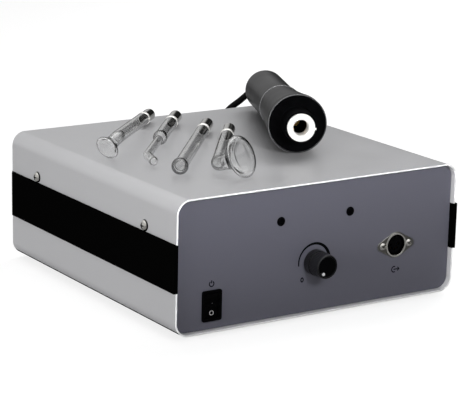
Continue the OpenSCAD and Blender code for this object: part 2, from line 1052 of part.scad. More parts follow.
module plug_shell() {
    color("#c9c9cc")
        in_plug()
            translate([0, 0, 36])
                difference() {
                    cylinder(r = 6.6, h = 11);
                    translate([0, 0, 2])
                        cylinder(r = 6.1, h = 10);
                }
}

module plug_pins() {
    color("#d0c8a8")
        in_plug()
            for (i = [0 : 4])
                translate([3.5 * cos(i * 45), 3.5 * sin(i * 45), 38])
                    cylinder(r = 0.7, h = 8);
}

// Metal cap of an electrode: z = 0 at the contact end, bead at the glass end
module cap_body() {
    rotate_extrude()
        polygon([
            [0, 0], [2, 0], [2.2, 0.6], [cap_r - 0.8, 1], [cap_r, 2],
            [cap_r, cap_len - bead_w], [bead_r - 0.3, cap_len - bead_w + 0.3],
            [bead_r, cap_len - bead_w + 0.8], [bead_r, cap_len - 0.6], [bead_r - 0.5, cap_len],
            [neck_r + run_fit, cap_len], [neck_r + run_fit, cap_floor], [0, cap_floor]
        ]);
}

// Open glass wall along the outline points [radius, height]
module glass_stem(p) {
    rotate_extrude()
        polygon(concat(p, [for (i = [len(p) - 1 : -1 : 0]) p[i] - [glass_wall, 0]]));
}

// Glass bend from +Z toward +X, of tube radius r about a bend radius
module glass_bend(r, bend, angle) {
    translate([bend, 0, 0])
        rotate([90, 0, 0])
            rotate([0, 0, 180 - angle])
                rotate_extrude(angle = angle)
                    translate([bend, 0])
                        difference() {
                            circle(r);
                            circle(r - glass_wall);
                        }
}

// Frame behind a bend of the given radius and angle
module after_bend(bend, angle) {
    translate([bend - bend * cos(angle), 0, bend * sin(angle)])
        rotate([0, angle, 0])
            children();
}

function bend_run(bend, angle) = bend * tan(angle / 2);

// Thicker ring of glass round the seam of two lengths of tube at z = 0
module glass_seam(r) {
    rotate_extrude()
        translate([r - glass_wall - seam_more, -seam_half])
            square([glass_wall + 2 * seam_more, 2 * seam_half]);
}

// Points of a round end of radius r about height z, from angle a to the axis
function round_end(r, z, a) = [
    for (i = [0 : 8])
        let (b = a + (90 - a) * i / 8)
            [r * cos(b), z + r * sin(b)]
];
function back_to_front(p) = [for (i = [len(p) - 1 : -1 : 0]) p[i]];

// Glass wall of radius r from z = 0 to z = len with a round end
module glass_tip(r, len) {
    rotate_extrude()
        polygon(concat(
            [[r, 0]],
            round_end(r, len, 0),
            back_to_front(round_end(r - glass_wall, len, 0)),
            [[r - glass_wall, 0]]
        ));
}

// Round head of radius r and thickness t on a neck that opens from radius r0 over a length len
module glass_head(r0, len, r, t, flare) {
    w = glass_wall;
    rotate_extrude()
        polygon([
            [r0, 0],
            [r0 + flare, len * 0.4],
            [r * 0.78, len - t * 0.4],
            [r * 0.95, len - t * 0.2],
            [r, len + t * 0.15],
            [r * 0.95, len + t * 0.5],
            [r * 0.78, len + t * 0.72],
            [0, len + t * 0.85],
            [0, len + t * 0.85 - w],
            [r * 0.78 - w * 0.6, len + t * 0.72 - w],
            [r * 0.95 - w, len + t * 0.5 - w * 0.8],
            [r - w, len + t * 0.15],
            [r * 0.95 - w, len - t * 0.2 + w * 0.8],
            [r * 0.78 - w * 0.6, len - t * 0.4 + w],
            [r0 + flare - w, len * 0.4 + w * 0.4],
            [r0 - w, 0]
        ]);
}

module place_disc() {
    translate(disc_at)
        rotate([0, disc_lean, disc_heading])
            rotate([0, 0, disc_roll])
                children();
}

module disc_glass() {
    bend = 12;
    run = bend_run(bend, disc_bend);
    color([0.85, 0.9, 0.9, 0.5])
        place_disc() {
            glass_stem(concat(glass_root, [[disc_neck_r, disc_stem - run - seam_gap]]));
            translate([0, 0, disc_stem - run]) {
                glass_seam(disc_neck_r);
                glass_bend(disc_neck_r, bend, disc_bend);
                after_bend(bend, disc_bend) {
                    glass_seam(disc_neck_r);
                    translate([0, 0, seam_gap])
                        glass_head(disc_neck_r, disc_neck - run - seam_gap, disc_d / 2, disc_t, 0.4);
                }
            }
        }
}

module disc_cap() {
    color("#bdbdc0")
        place_disc()
            cap_body();
}

module place_hook() {
    translate(hook_at)
        rotate([0, 90, hook_heading])
            rotate([0, 0, hook_roll])
                children();
}

module hook_glass() {
    bend = 10;
    run = bend_run(bend, hook_bend);
    color([0.85, 0.9, 0.9, 0.5])
        place_hook() {
            glass_stem(concat(glass_root, [
                [tube_r, hook_step - 4], [hook_collar_r, hook_step - 1.4], [hook_collar_r, hook_step + 1.4],
                [hook_thin_r, hook_step + 5], [hook_thin_r, hook_stem - run - seam_gap]
            ]));
            translate([0, 0, hook_stem - run]) {
                glass_seam(hook_thin_r);
                glass_bend(hook_thin_r, bend, hook_bend);
                after_bend(bend, hook_bend) {
                    glass_seam(hook_thin_r);
                    translate([0, 0, seam_gap])
                        glass_tip(hook_thin_r, hook_stub - seam_gap);
                }
            }
        }
}

module hook_cap() {
    color("#bdbdc0")
        place_hook()
            cap_body();
}

module place_ball() {
    translate(ball_at)
        rotate([0, 90 - asin((ball_r - bead_r) / ball_len), ball_heading])
            children();
}

module ball_glass() {
    inner_r = ball_r - glass_wall;
    outer_a = -acos(tube_r / ball_r);
    inner_a = -acos((tube_r - glass_wall) / inner_r);
    color([0.85, 0.9, 0.9, 0.5])
        place_ball()
            rotate_extrude()
                polygon(concat(
                    glass_root,
                    round_end(ball_r, ball_len, outer_a),
                    back_to_front(round_end(inner_r, ball_len, inner_a)),
                    back_to_front([for (p = glass_root) p - [glass_wall, 0]])
                ));
}

module ball_cap() {
    color("#bdbdc0")
        place_ball()
            cap_body();
}

module place_bell() {
    translate(bell_at)
        rotate([0, bell_lean, bell_heading])
            rotate([0, 0, bell_roll])
                children();
}

module bell_glass() {
    bend = 9;
    run = bend_run(bend, bell_bend);
    color([0.85, 0.9, 0.9, 0.5])
        place_bell() {
            glass_stem(concat(glass_root, [[bell_neck_r, bell_stem - run - seam_gap]]));
            translate([0, 0, bell_stem - run]) {
                glass_seam(bell_neck_r);
                glass_bend(bell_neck_r, bend, bell_bend);
                after_bend(bend, bell_bend) {
                    glass_seam(bell_neck_r);
                    translate([0, 0, seam_gap])
                        glass_head(bell_neck_r, bell_neck - run - seam_gap, bell_d / 2, bell_t, 1.6);
                }
            }
        }
}

module bell_cap() {
    color("#bdbdc0")
        place_bell()
            cap_body();
}

top_cover();
base_tray();
side_rail_left();
side_rail_right();
front_panel();
rear_panel();
cover_screws();
rubber_feet();
foot_screws();
switch_housing();
switch_rocker();
switch_terminals();
pot_body();
pot_nut();
pot_shaft();
control_knob();
knob_dot();
indicator_lamps();
socket_flange();
socket_insert();
socket_contacts();
socket_screws();
mains_inlet();
inlet_pins();
inlet_screws();
transformer_core();
transformer_winding();
transformer_screws();
circuit_board();
board_posts();
board_screws();
heat_sink();
transistor();
capacitors();
handpiece_grip();
handpiece_sleeve();
handpiece_nose();
socket_bush();
contact_spring();
coil_former();
coil_winding();
end_cap();
strain_relief();
lead_run();
lead_coil();
lead_tie();
lead_tail();
plug_boot();
plug_shell();
plug_pins();
disc_glass();
disc_cap();
hook_glass();
hook_cap();
ball_glass();
ball_cap();
bell_glass();
bell_cap();
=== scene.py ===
"""Dressed scene of a bench-top high-frequency set on a white studio floor.

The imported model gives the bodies, joints and sizes. The classes below build the visible pieces in the same
frame (millimetres in the size fields, metres in the meshes), give every piece its finish and hang it on the
body that carries it.
"""

from __future__ import annotations

import logging
import math
from dataclasses import dataclass, replace
from enum import Enum
from typing import Callable, Iterable, Sequence

import bmesh
import bpy
from bpy.types import Material, Mesh, Node, NodeSocket, NodeTree, Object
from mathutils import Matrix, Vector


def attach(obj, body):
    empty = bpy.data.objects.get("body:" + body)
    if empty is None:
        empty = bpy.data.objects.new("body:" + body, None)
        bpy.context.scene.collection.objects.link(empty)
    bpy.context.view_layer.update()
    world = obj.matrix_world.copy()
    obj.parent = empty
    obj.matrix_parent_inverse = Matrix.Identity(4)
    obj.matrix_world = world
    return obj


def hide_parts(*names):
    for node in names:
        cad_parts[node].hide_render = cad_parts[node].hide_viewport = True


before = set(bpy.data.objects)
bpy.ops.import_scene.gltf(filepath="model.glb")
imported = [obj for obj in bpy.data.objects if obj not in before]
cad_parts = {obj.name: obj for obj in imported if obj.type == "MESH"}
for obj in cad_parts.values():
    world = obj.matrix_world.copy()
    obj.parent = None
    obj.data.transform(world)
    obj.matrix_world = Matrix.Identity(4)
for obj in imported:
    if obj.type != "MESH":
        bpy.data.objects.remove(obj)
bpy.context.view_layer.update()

LOG = logging.getLogger("scene")
MM = 0.001
DUST_COLOUR = (0.62, 0.6, 0.57, 1.0)
BUMP_DISTANCE = 0.0001
PLAIN_WHITE = (1.0, 1.0, 1.0, 1.0)
# Radius taken as a pole, turn in radians that stays sharp, share of an edge that a rounding may take.
POLE = 1e-6
STRAIGHT = 0.12
CORNER_SHARE = 0.46
# Place of the root of prints and wells under a face, and angle up to which faces are shaded as one.
SEAT = -0.02
SMOOTH_ANGLE = 32.0
# Greatest lengthwise share of the normal on faces that look to the front.
FRONTAL = -0.9

Point = tuple[float, float]
Profile = Sequence[Point]
Triple = tuple[float, float, float]
Rounding = tuple[float, int]


def spin(angle: float, axis: str) -> Matrix:
    """Return a turn about an axis, in degrees."""
    return Matrix.Rotation(math.radians(angle), 4, axis)


def held(value: float) -> float:
    """Return a value held between zero and one."""
    return min(max(value, 0.0), 1.0)


def stand(name: str, data: bpy.types.ID) -> Object:
    """Put an object into the scene.

    Args:
        name: Name of the object.
        data: Mesh, curve, lamp or camera that it shows.

    Returns:
        The new object.
    """
    made = bpy.data.objects.new(name, data)
    bpy.context.scene.collection.objects.link(made)
    return made


def srgb(red: int, green: int, blue: int) -> Triple:
    """Return the linear colour of three display values.

    Args:
        red: Red from 0 to 255.
        green: Green from 0 to 255.
        blue: Blue from 0 to 255.

    Returns:
        The three linear channels.
    """

    def linear(value: int) -> float:
        """Return one linear channel."""
        share = value / 255
        return share / 12.92 if share <= 0.04045 else ((share + 0.055) / 1.055) ** 2.4

    return linear(red), linear(green), linear(blue)


class Face(Enum):
    """Side of the case that a flat piece looks out of, as a turn about the upright axis."""

    FRONT = 0
    RIGHT = 90
    REAR = 180
    LEFT = -90

    def at(self, x: float, y: float, z: float) -> Matrix:
        """Return a frame at a point: X along the side, Y up, Z outward."""
        turn = spin(self.value, "Z")
        return Matrix.Translation((x, y, z)) @ turn @ spin(90, "X")


def lying(at: Triple, lean: float, heading: float, roll: float = 0.0) -> Matrix:
    """Return the frame of a long piece whose axis is leaned from upright and then turned.

    Args:
        at: Place of the frame's origin.
        lean: Angle between the axis and upright, in degrees.
        heading: Turn about the upright axis, in degrees.
        roll: Turn about the piece's own axis, in degrees.

    Returns:
        The frame, with Z along the piece.
    """
    turns = [(heading, "Z"), (lean, "Y"), (roll, "Z")]
    made = Matrix.Translation(at)
    for angle, axis in turns:
        made = made @ spin(angle, axis)
    return made


def soften(points: Profile, radius: float, steps: int = 4, closed: bool = False) -> list[Point]:
    """Round the corners of an outline.

    Args:
        points: Corners of the outline.
        radius: Radius of the rounding, less where the outline has no room for it.
        steps: Pieces of each rounding.
        closed: Whether the last corner is joined to the first.

    Returns:
        The outline with a short curve at each corner.
    """
    made: list[Point] = []
    count = len(points)
    for i, point in enumerate(points):
        corner = Vector(point)
        back = Vector(points[i - 1]) - corner
        ahead = Vector(points[(i + 1) % count]) - corner
        turn = math.pi - back.angle(ahead)
        if (not closed and i in (0, count - 1)) or turn < STRAIGHT:
            made.append((corner.x, corner.y))
            continue
        room = CORNER_SHARE * min(back.length, ahead.length)
        reach = min(radius * math.tan(turn / 2), room)
        start = corner + back.normalized() * reach
        end = corner + ahead.normalized() * reach
        for k in range(steps + 1):
            t = k / steps
            spot = start * (1 - t) ** 2 + corner * (2 * t * (1 - t)) + end * t**2
            made.append((spot.x, spot.y))
    return made


def refine(profile: Profile, step: float, count: Callable[[float], int] = math.ceil) -> list[Point]:
    """Put more points into a profile.

    Args:
        profile: Points of radius and height.
        step: Rise from one point to the next.
        count: Rounding of the number of steps.

    Returns:
        The profile with points between its own.
    """
    made: list[Point] = []
    for (r0, z0), (r1, z1) in zip(profile, profile[1:]):
        parts = max(1, count(abs(z1 - z0) / step))
        made += [(r0 + (r1 - r0) * k / parts, z0 + (z1 - z0) * k / parts) for k in range(parts)]
    return [*made, profile[-1]]


def round_rect(width: float, height: float, radius: float, steps: int = 6) -> list[Point]:
    """Return the outline of a centred rectangle with round corners."""
    x, y = width / 2, height / 2
    return soften([(-x, -y), (x, -y), (x, y), (-x, y)], radius, steps, closed=True)


def circle(radius: float, steps: int = 48, x: float = 0.0, y: float = 0.0) -> list[Point]:
    """Return the outline of a circle."""
    angles = [2 * math.pi * i / steps for i in range(steps)]
    return [(x + radius * math.cos(a), y + radius * math.sin(a)) for a in angles]


def arc(radius: float, start: float, end: float, steps: int, x: float = 0.0, y: float = 0.0) -> list[Point]:
    """Return the points of an arc between two angles in degrees."""
    angles = [math.radians(start + (end - start) * i / steps) for i in range(steps + 1)]
    return [(x + radius * math.cos(a), y + radius * math.sin(a)) for a in angles]


class Shape:
    """Mesh under construction, in millimetres and in the frame of the whole set."""

    def __init__(self) -> None:
        """Start with an empty mesh."""
        self.bm = bmesh.new()

    def skin(self, rows: Sequence[Sequence[Vector]], cyclic: bool = False, ends: bool = False) -> Shape:
        """Lay faces between rows of points.

        Args:
            rows: Closed rows with equal counts; a row of one point is a pole.
            cyclic: Whether the last row is joined to the first.
            ends: Whether the first and last row are closed with a face each.

        Returns:
            This shape.
        """
        made = [[self.bm.verts.new(point) for point in row] for row in rows]
        pairs = list(zip(made, made[1:]))
        if cyclic:
            pairs.append((made[-1], made[0]))
        for low, high in pairs:
            count = max(len(low), len(high))
            for i in range(count):
                j = (i + 1) % count
                corners = [low[i % len(low)], low[j % len(low)], high[j % len(high)], high[i % len(high)]]
                corners = list(dict.fromkeys(corners))
                if len(corners) > 2:
                    self.bm.faces.new(corners)
        if ends:
            self.bm.faces.new(made[0][::-1])
            self.bm.faces.new(made[-1])
        return self

    def revolve(
        self, profile: Profile, place: Matrix, steps: int = 64, closed: bool = False,
        flutes: Callable[[float, float], float] | None = None,
    ) -> Shape:
        """Turn a profile of radius and height about the frame's Z axis.

        Args:
            profile: Points of radius and height; a radius of zero is a pole.
            place: Frame of the turned piece.
            steps: Points around.
            closed: Whether the profile is a closed outline.
            flutes: Depth to take off the radius, by height and angle.

        Returns:
            This shape.
        """
        rows = []
        for radius, height in profile:
            if radius < POLE:
                rows.append([place @ Vector((0, 0, height))])
                continue
            row = []
            for i in range(steps):
                angle = 2 * math.pi * i / steps
                size = radius - (flutes(height, angle) if flutes else 0.0)
                row.append(place @ Vector((size * math.cos(angle), size * math.sin(angle), height)))
            rows.append(row)
        return self.skin(rows, cyclic=closed)

    def along(self, profile: Profile, spine: Callable[[float], Matrix], steps: int = 40) -> Shape:
        """Lay a profile along a spine that may bend.

        Args:
            profile: Points of radius and distance; a radius of zero is a pole.
            spine: Frame at a distance along the middle.
            steps: Points around.

        Returns:
            This shape.
        """
        rows = []
        for radius, distance in profile:
            here = spine(distance)
            if radius < POLE:
                rows.append([here.translation.copy()])
                continue
            rows.append([here @ Vector((x, y, 0)) for x, y in circle(radius, steps)])
        return self.skin(rows)

    def plate(
        self, outer: Profile, holes: Sequence[Profile], low: float, high: float, place: Matrix
    ) -> Shape:
        """Add a flat plate with holes.

        Args:
            outer: Outline of the plate.
            holes: Outlines of the holes.
            low: Height of the lower face.
            high: Height of the upper face.
            place: Frame in which outline and heights are given.

        Returns:
            This shape.
        """
        loops: list[list[bmesh.types.BMVert]] = []
        for height in (low, high):
            edges = []
            for outline in (outer, *holes):
                ring = [self.bm.verts.new(place @ Vector((x, y, height))) for x, y in outline]
                edges += [self.bm.edges.new((ring[i - 1], ring[i])) for i in range(len(ring))]
                loops.append(ring)
            bmesh.ops.triangle_fill(self.bm, edges=edges, use_beauty=True)
        half = len(loops) // 2
        for bottom, top in zip(loops[:half], loops[half:]):
            for i in range(len(bottom)):
                self.bm.faces.new((bottom[i - 1], bottom[i], top[i], top[i - 1]))
        flat = [f for f in self.bm.faces if len(f.verts) == 3]
        bmesh.ops.dissolve_limit(
            self.bm, angle_limit=0.01, verts=[], edges=list({e for f in flat for e in f.edges})
        )
        return self

    def ribbon(
        self, points: Profile, width: float | Sequence[float], place: Matrix, high: float = 0.06,
        closed: bool = False,
    ) -> Shape:
        """Add a thin printed line.

        Args:
            points: Middle of the line in the frame's plane.
            width: One width, or one for each point.
            place: Frame whose Z stands off the printed face.
            high: Thickness of the print.
            closed: Whether the line is a closed loop.

        Returns:
            This shape.
        """
        widths = [width] * len(points) if isinstance(width, (int, float)) else list(width)
        rows = []
        count = len(points)
        for i, (point, wide) in enumerate(zip(points, widths)):
            before = points[i - 1] if closed or i else point
            after = points[(i + 1) % count] if closed or i < count - 1 else point
            run = (Vector(after) - Vector(before)).normalized()
            side = Vector((-run.y, run.x)) * wide / 2
            left, right = Vector(point) - side, Vector(point) + side
            rows.append([
                place @ Vector((spot.x, spot.y, z))
                for spot, z in ((left, SEAT), (right, SEAT), (right, high), (left, high))
            ])
        return self.skin(rows, cyclic=closed, ends=not closed)

    def add(self, other: Shape, place: Matrix) -> Shape:
        """Add a copy of another shape.

        Args:
            other: Shape to copy.
            place: Frame that the copy is moved into.

        Returns:
            This shape.
        """
        spots = {vert: self.bm.verts.new(place @ vert.co) for vert in other.bm.verts}
        for face in other.bm.faces:
            self.bm.faces.new([spots[vert] for vert in face.verts])
        return self

    def bevel(self, width: float, steps: int = 2, angle: float = 40.0) -> Shape:
        """Round every sharp edge.

        Args:
            width: Width of the rounding.
            steps: Pieces of the rounding.
            angle: Angle in degrees from which an edge is sharp.

        Returns:
            This shape.
        """
        bmesh.ops.recalc_face_normals(self.bm, faces=self.bm.faces)
        sharp = [e for e in self.bm.edges if e.calc_face_angle(0.0) > math.radians(angle)]
        bmesh.ops.bevel(
            self.bm, geom=sharp, offset=width, segments=steps, profile=0.5, affect="EDGES", clamp_overlap=True
        )
        return self

    def mesh(self, name: str) -> Mesh:
        """Make the finished mesh.

        Args:
            name: Name of the mesh.

        Returns:
            The mesh in metres.
        """
        bmesh.ops.recalc_face_normals(self.bm, faces=self.bm.faces)
        made = bpy.data.meshes.new(name)
        self.bm.to_mesh(made)
        made.transform(Matrix.Scale(MM, 4))
        return made

    def cut(self, tool: Shape) -> Shape:
        """Take another closed shape out of this one.

        Args:
            tool: Shape to take out.

        Returns:
            This shape.
        """
        bodies = [stand(name, shape.mesh(name)) for name, shape in (("cut_body", self), ("cut_tool", tool))]
        carve = bodies[0].modifiers.new("carve", "BOOLEAN")
        carve.object = bodies[1]
        carve.solver = "EXACT"
        result = bodies[0].evaluated_get(bpy.context.evaluated_depsgraph_get()).to_mesh()
        self.bm.clear()
        self.bm.from_mesh(result)
        bmesh.ops.scale(self.bm, vec=(1 / MM,) * 3, verts=self.bm.verts)
        for body in bodies:
            body_mesh = body.data
            bpy.data.objects.remove(body)
            bpy.data.meshes.remove(body_mesh)
        return self


class Graph:
    """Short way to lay out a node tree."""

    def __init__(self, tree: NodeTree) -> None:
        """Take over an empty tree."""
        self.tree = tree
        tree.nodes.clear()

    def add(
        self, kind: str, inputs: dict[str | int, object] | None = None, **settings: object
    ) -> Node:
        """Add a node.

        Args:
            kind: Node type.
            inputs: Value or socket for each named or numbered input.
            settings: Properties of the node.

        Returns:
            The new node.
        """
        node = self.tree.nodes.new(kind)
        for key, value in settings.items():
            setattr(node, key, value)
        self.feed(node, inputs or {})
        return node

    def feed(self, node: Node, inputs: dict[str | int, object]) -> None:
        """Set or join the inputs of a node.

        Args:
            node: Node to set.
            inputs: Value or socket for each named or numbered input.
        """
        for key, value in inputs.items():
            if isinstance(value, NodeSocket):
                self.tree.links.new(value, node.inputs[key])
            else:
                node.inputs[key].default_value = value

    def math(self, operation: str, first: object, second: object = 0.0) -> NodeSocket:
        """Return the result of one sum."""
        return self.add("ShaderNodeMath", {0: first, 1: second}, operation=operation).outputs[0]

    def between(
        self, value: object, low: object, high: object, span: Point = (0.0, 1.0)
    ) -> NodeSocket:
        """Return a value moved from a span to the range from low to high."""
        inputs = {"Value": value, "From Min": span[0], "From Max": span[1], "To Min": low, "To Max": high}
        return self.add("ShaderNodeMapRange", inputs).outputs["Result"]

    def blend(self, share: object, first: object, second: object, mode: str = "MIX") -> NodeSocket:
        """Mix two colours.

        Args:
            share: Share of the second colour.
            first: First colour or socket.
            second: Second colour or socket.
            mode: Way of mixing.

        Returns:
            The mixed colour.
        """
        node = self.add("ShaderNodeMix", data_type="RGBA", blend_type=mode)
        self.feed(node, {0: share, 6: first, 7: second})
        return node.outputs[2]


class Effect(Enum):
    """Shared surface effects; each is one node group."""

    GRAIN = "fine_grain"
    PATCHES = "handling_patches"
    DUST = "settled_dust"
    BRUSHING = "brushed_lines"

    def group(self) -> NodeTree:
        """Find the node group, or make it on first use.

        Returns:
            The node group of this effect.
        """
        known = bpy.data.node_groups.get(self.value)
        if known:
            return known
        tree = bpy.data.node_groups.new(self.value, "ShaderNodeTree")
        getattr(self, f"_{self.name.lower()}")(tree)
        return tree

    @staticmethod
    def _sockets(
        tree: NodeTree, inputs: dict[str, float], outputs: Iterable[str]
    ) -> tuple[Graph, dict[str, NodeSocket], Node]:
        """Give a group its sockets.

        Args:
            tree: Group to fill.
            inputs: Input names with their first values.
            outputs: Output names.

        Returns:
            Graph of the group, its inputs by name, and its output node.
        """
        for name, value in inputs.items():
            socket = tree.interface.new_socket(name, in_out="INPUT", socket_type="NodeSocketFloat")
            socket.default_value = value
        for name in outputs:
            tree.interface.new_socket(name, in_out="OUTPUT", socket_type="NodeSocketFloat")
        graph = Graph(tree)
        entry = graph.add("NodeGroupInput")
        return graph, {name: entry.outputs[name] for name in inputs}, graph.add("NodeGroupOutput")

    def _noise(
        self, graph: Graph, scale: object, detail: float, stretch: Triple = (1.0, 1.0, 1.0)
    ) -> NodeSocket:
        """Make noise in the piece's own space.

        Args:
            graph: Graph of the group.
            scale: Fineness, as a number or a socket.
            detail: Detail of the noise.
            stretch: Stretch along each axis.

        Returns:
            The noise.
        """
        spot = graph.add("ShaderNodeTexCoord").outputs["Object"]
        spot = graph.add("ShaderNodeMapping", {"Vector": spot, "Scale": stretch}).outputs[0]
        return graph.add("ShaderNodeTexNoise", {"Vector": spot, "Scale": scale, "Detail": detail}).outputs[0]

    def _toned(
        self, tree: NodeTree, inputs: dict[str, float], detail: float, span: Point,
        stretch: Triple = (1.0, 1.0, 1.0),
    ) -> None:
        """Make a tone about one and a height from one noise.

        Args:
            tree: Group to fill.
            inputs: Fineness and depth when none are given.
            detail: Detail of the noise.
            span: Part of the noise that is spread over the whole tone.
            stretch: Stretch of the noise along each axis.
        """
        graph, given, out = self._sockets(tree, inputs, ("Tone", "Height"))
        noise = self._noise(graph, given["Scale"], detail, stretch)
        swing = graph.between(noise, -1.0, 1.0, span)
        tone = graph.math("MULTIPLY", swing, given["Depth"])
        graph.feed(out, {"Tone": graph.math("ADD", tone, 1.0), "Height": noise})

    def _grain(self, tree: NodeTree) -> None:
        """Fine speckle."""
        self._toned(tree, {"Scale": 3000.0, "Depth": 0.05}, 3.0, (0.25, 0.75))

    def _patches(self, tree: NodeTree) -> None:
        """Make broad soft patches between two values, as handling leaves in a sheen.

        Args:
            tree: Group to fill.
        """
        graph, given, out = self._sockets(tree, {"Scale": 20.0, "Low": 0.3, "High": 0.4}, ("Value",))
        noise = self._noise(graph, given["Scale"], 5.0)
        value = graph.between(noise, given["Low"], given["High"], (0.35, 0.65))
        graph.feed(out, {"Value": value})

    def _dust(self, tree: NodeTree) -> None:
        """Make thin dust on faces that look up.

        Args:
            tree: Group to fill.
        """
        graph, given, out = self._sockets(tree, {"Amount": 0.05}, ("Mask",))
        normal = graph.add("ShaderNodeNewGeometry").outputs["Normal"]
        upward = graph.add("ShaderNodeSeparateXYZ", {0: normal}).outputs["Z"]
        facing = graph.between(upward, 0.0, 1.0, (0.55, 1.0))
        specks = graph.between(self._noise(graph, 900.0, 6.0), 0.0, 1.0, (0.5, 0.75))
        mask = graph.math("MULTIPLY", graph.math("MULTIPLY", facing, specks), given["Amount"])
        graph.feed(out, {"Mask": mask})

    def _brushing(self, tree: NodeTree) -> None:
        """Fine lines along one direction."""
        self._toned(tree, {"Scale": 400.0, "Depth": 0.08}, 2.0, (0.3, 0.7), (1.0, 0.04, 6.0))


@dataclass(frozen=True)
class Finish:
    """Opaque finish of a piece: colour, sheen and the small unevenness of both.

    Attributes:
        slot: Material slot of the record.
        colour: Linear base colour.
        sheen: Lowest and highest roughness over the surface.
        metal: Metallic share.
        speckle: Depth of the fine tone speckle.
        speckle_scale: Fineness of the speckle.
        relief: Strength of the fine relief.
        dust: Share of dust on faces that look up.
        effect: Effect that gives speckle and relief.
        coat: Weight of a clear top layer.
        gloss: Specular level of the surface.
        tag: Word that tells two finishes of one slot apart.
    """

    slot: str
    colour: Triple
    sheen: Point
    metal: float = 0.0
    speckle: float = 0.04
    speckle_scale: float = 3000.0
    relief: float = 0.05
    dust: float = 0.0
    effect: Effect = Effect.GRAIN
    coat: float = 0.0
    gloss: float = 0.5
    tag: str = "finish"

    @property
    def name(self) -> str:
        """Return the material's name."""
        return f"{self.slot}_{self.tag}"

    def material(self) -> Material:
        """Find the material, or make it on first use.

        Returns:
            The material of this finish.
        """
        known = bpy.data.materials.get(self.name)
        if known:
            return known
        made = bpy.data.materials.new(self.name)
        made.use_nodes = True
        graph = Graph(made.node_tree)
        shader = graph.add("ShaderNodeBsdfPrincipled")
        self.dress(graph, shader)
        graph.add("ShaderNodeOutputMaterial", {"Surface": self.surface(graph, shader)})
        return made

    def surface(self, graph: Graph, shader: Node) -> NodeSocket:
        """Return the socket that goes to the material's output."""
        return shader.outputs[0]

    def effect_node(self, graph: Graph, effect: Effect, **inputs: float) -> Node:
        """Add a shared effect with its settings."""
        return graph.add("ShaderNodeGroup", inputs, node_tree=effect.group())

    def speckled(self, graph: Graph, shader: Node) -> tuple[NodeSocket, Node]:
        """Set the sheen and speckle the colour.

        Args:
            graph: Graph of the material.
            shader: Shader to set.

        Returns:
            The speckled colour and the effect that it comes from.
        """
        fine = self.effect_node(graph, self.effect, Scale=self.speckle_scale, Depth=self.speckle)
        worn = self.effect_node(graph, Effect.PATCHES, Low=self.sheen[0], High=self.sheen[1])
        graph.feed(shader, {"Roughness": worn.outputs["Value"]})
        return graph.blend(1.0, (*self.colour, 1.0), fine.outputs["Tone"], "MULTIPLY"), fine

    def dress(self, graph: Graph, shader: Node) -> None:
        """Set colour, sheen and relief of the shader.

        Args:
            graph: Graph of the material.
            shader: Shader to set.
        """
        tone, fine = self.speckled(graph, shader)
        if self.dust:
            mask = self.effect_node(graph, Effect.DUST, Amount=self.dust).outputs["Mask"]
            tone = graph.blend(mask, tone, DUST_COLOUR)
        relief = {"Height": fine.outputs["Height"], "Strength": self.relief, "Distance": BUMP_DISTANCE}
        bump = graph.add("ShaderNodeBump", relief).outputs[0]
        graph.feed(shader, {
            "Base Color": tone, "Normal": bump, "Metallic": self.metal, "Coat Weight": self.coat,
            "Specular IOR Level": self.gloss,
        })


@dataclass(frozen=True)
class ClearGlass(Finish):
    """Clear lamp-blown glass that lets light from lamps straight through, with painted dark rims.

    Attributes:
        index: Index of refraction.
        rim: Colour painted where the wall is looked at along its face, a painted dark reflection.
        painted_rim_span: Turn away from the eye over which that painted colour comes in.
    """

    index: float = 1.47
    rim: Triple = (0.0, 0.0, 0.0)
    painted_rim_span: Point = (0.82, 0.9)

    def dress(self, graph: Graph, shader: Node) -> None:
        """Set the clear body and its painted dark rims, which stand in for dark reflections at glancing
        walls.

        Args:
            graph: Graph of the material.
            shader: Shader to set.
        """
        tone = self.speckled(graph, shader)[0]
        # Painted reflection: the colour darkens toward glancing walls, standing in for the dark room seen
        # there.
        turned = graph.add("ShaderNodeLayerWeight", {"Blend": 0.5}).outputs["Facing"]
        tone = graph.blend(graph.between(turned, 0.0, 1.0, self.painted_rim_span), tone, (*self.rim, 1.0))
        graph.feed(shader, {"Base Color": tone, "Transmission Weight": 1.0, "IOR": self.index})

    def surface(self, graph: Graph, shader: Node) -> NodeSocket:
        """Make the glass clear for shadow rays.

        Args:
            graph: Graph of the material.
            shader: Shader to set.

        Returns:
            The socket that goes to the material's output.
        """
        shadow = graph.add("ShaderNodeLightPath").outputs["Is Shadow Ray"]
        clear = graph.add("ShaderNodeBsdfTransparent", {"Color": (0.98, 0.98, 0.98, 1.0)}).outputs[0]
        return graph.add("ShaderNodeMixShader", {0: shadow, 1: shader.outputs[0], 2: clear}).outputs[0]


SILVER = Finish(
    "silver_paint", srgb(190, 190, 192), (0.36, 0.44), metal=0.35, speckle=0.035, speckle_scale=4200,
    dust=0.02,
)
# Painted shade: dark grey on the tray's downward bend and underside, standing in for the contact shadow along
# the lower edge.
UNDERSIDE_SHADE = Finish("silver_paint", srgb(44, 44, 46), (0.7, 0.8), speckle=0.05, gloss=0.0, tag="underside")
# Painted light: a paler silver on the inside of the front overhang, where light falls on it.
RECESS_PAINTED_LIGHT = Finish("silver_paint", srgb(218, 218, 220), (0.3, 0.4), tag="recess")
# Painted highlight: near-white on the sheets' rounded front and rear edges.
LIP_HIGHLIGHT = Finish("silver_paint", srgb(250, 250, 251), (0.26, 0.34), tag="edge")
RAIL = Finish("rail_black", srgb(4, 4, 4), (0.55, 0.65), speckle_scale=1800, relief=0.12, gloss=0.0)
SLATE = Finish("slate_paint", srgb(99, 99, 110), (0.34, 0.42), metal=0.1, speckle=0.05, speckle_scale=2600)
NICKEL = Finish("nickel", (0.72, 0.71, 0.67), (0.14, 0.24), metal=1.0, speckle=0.03)
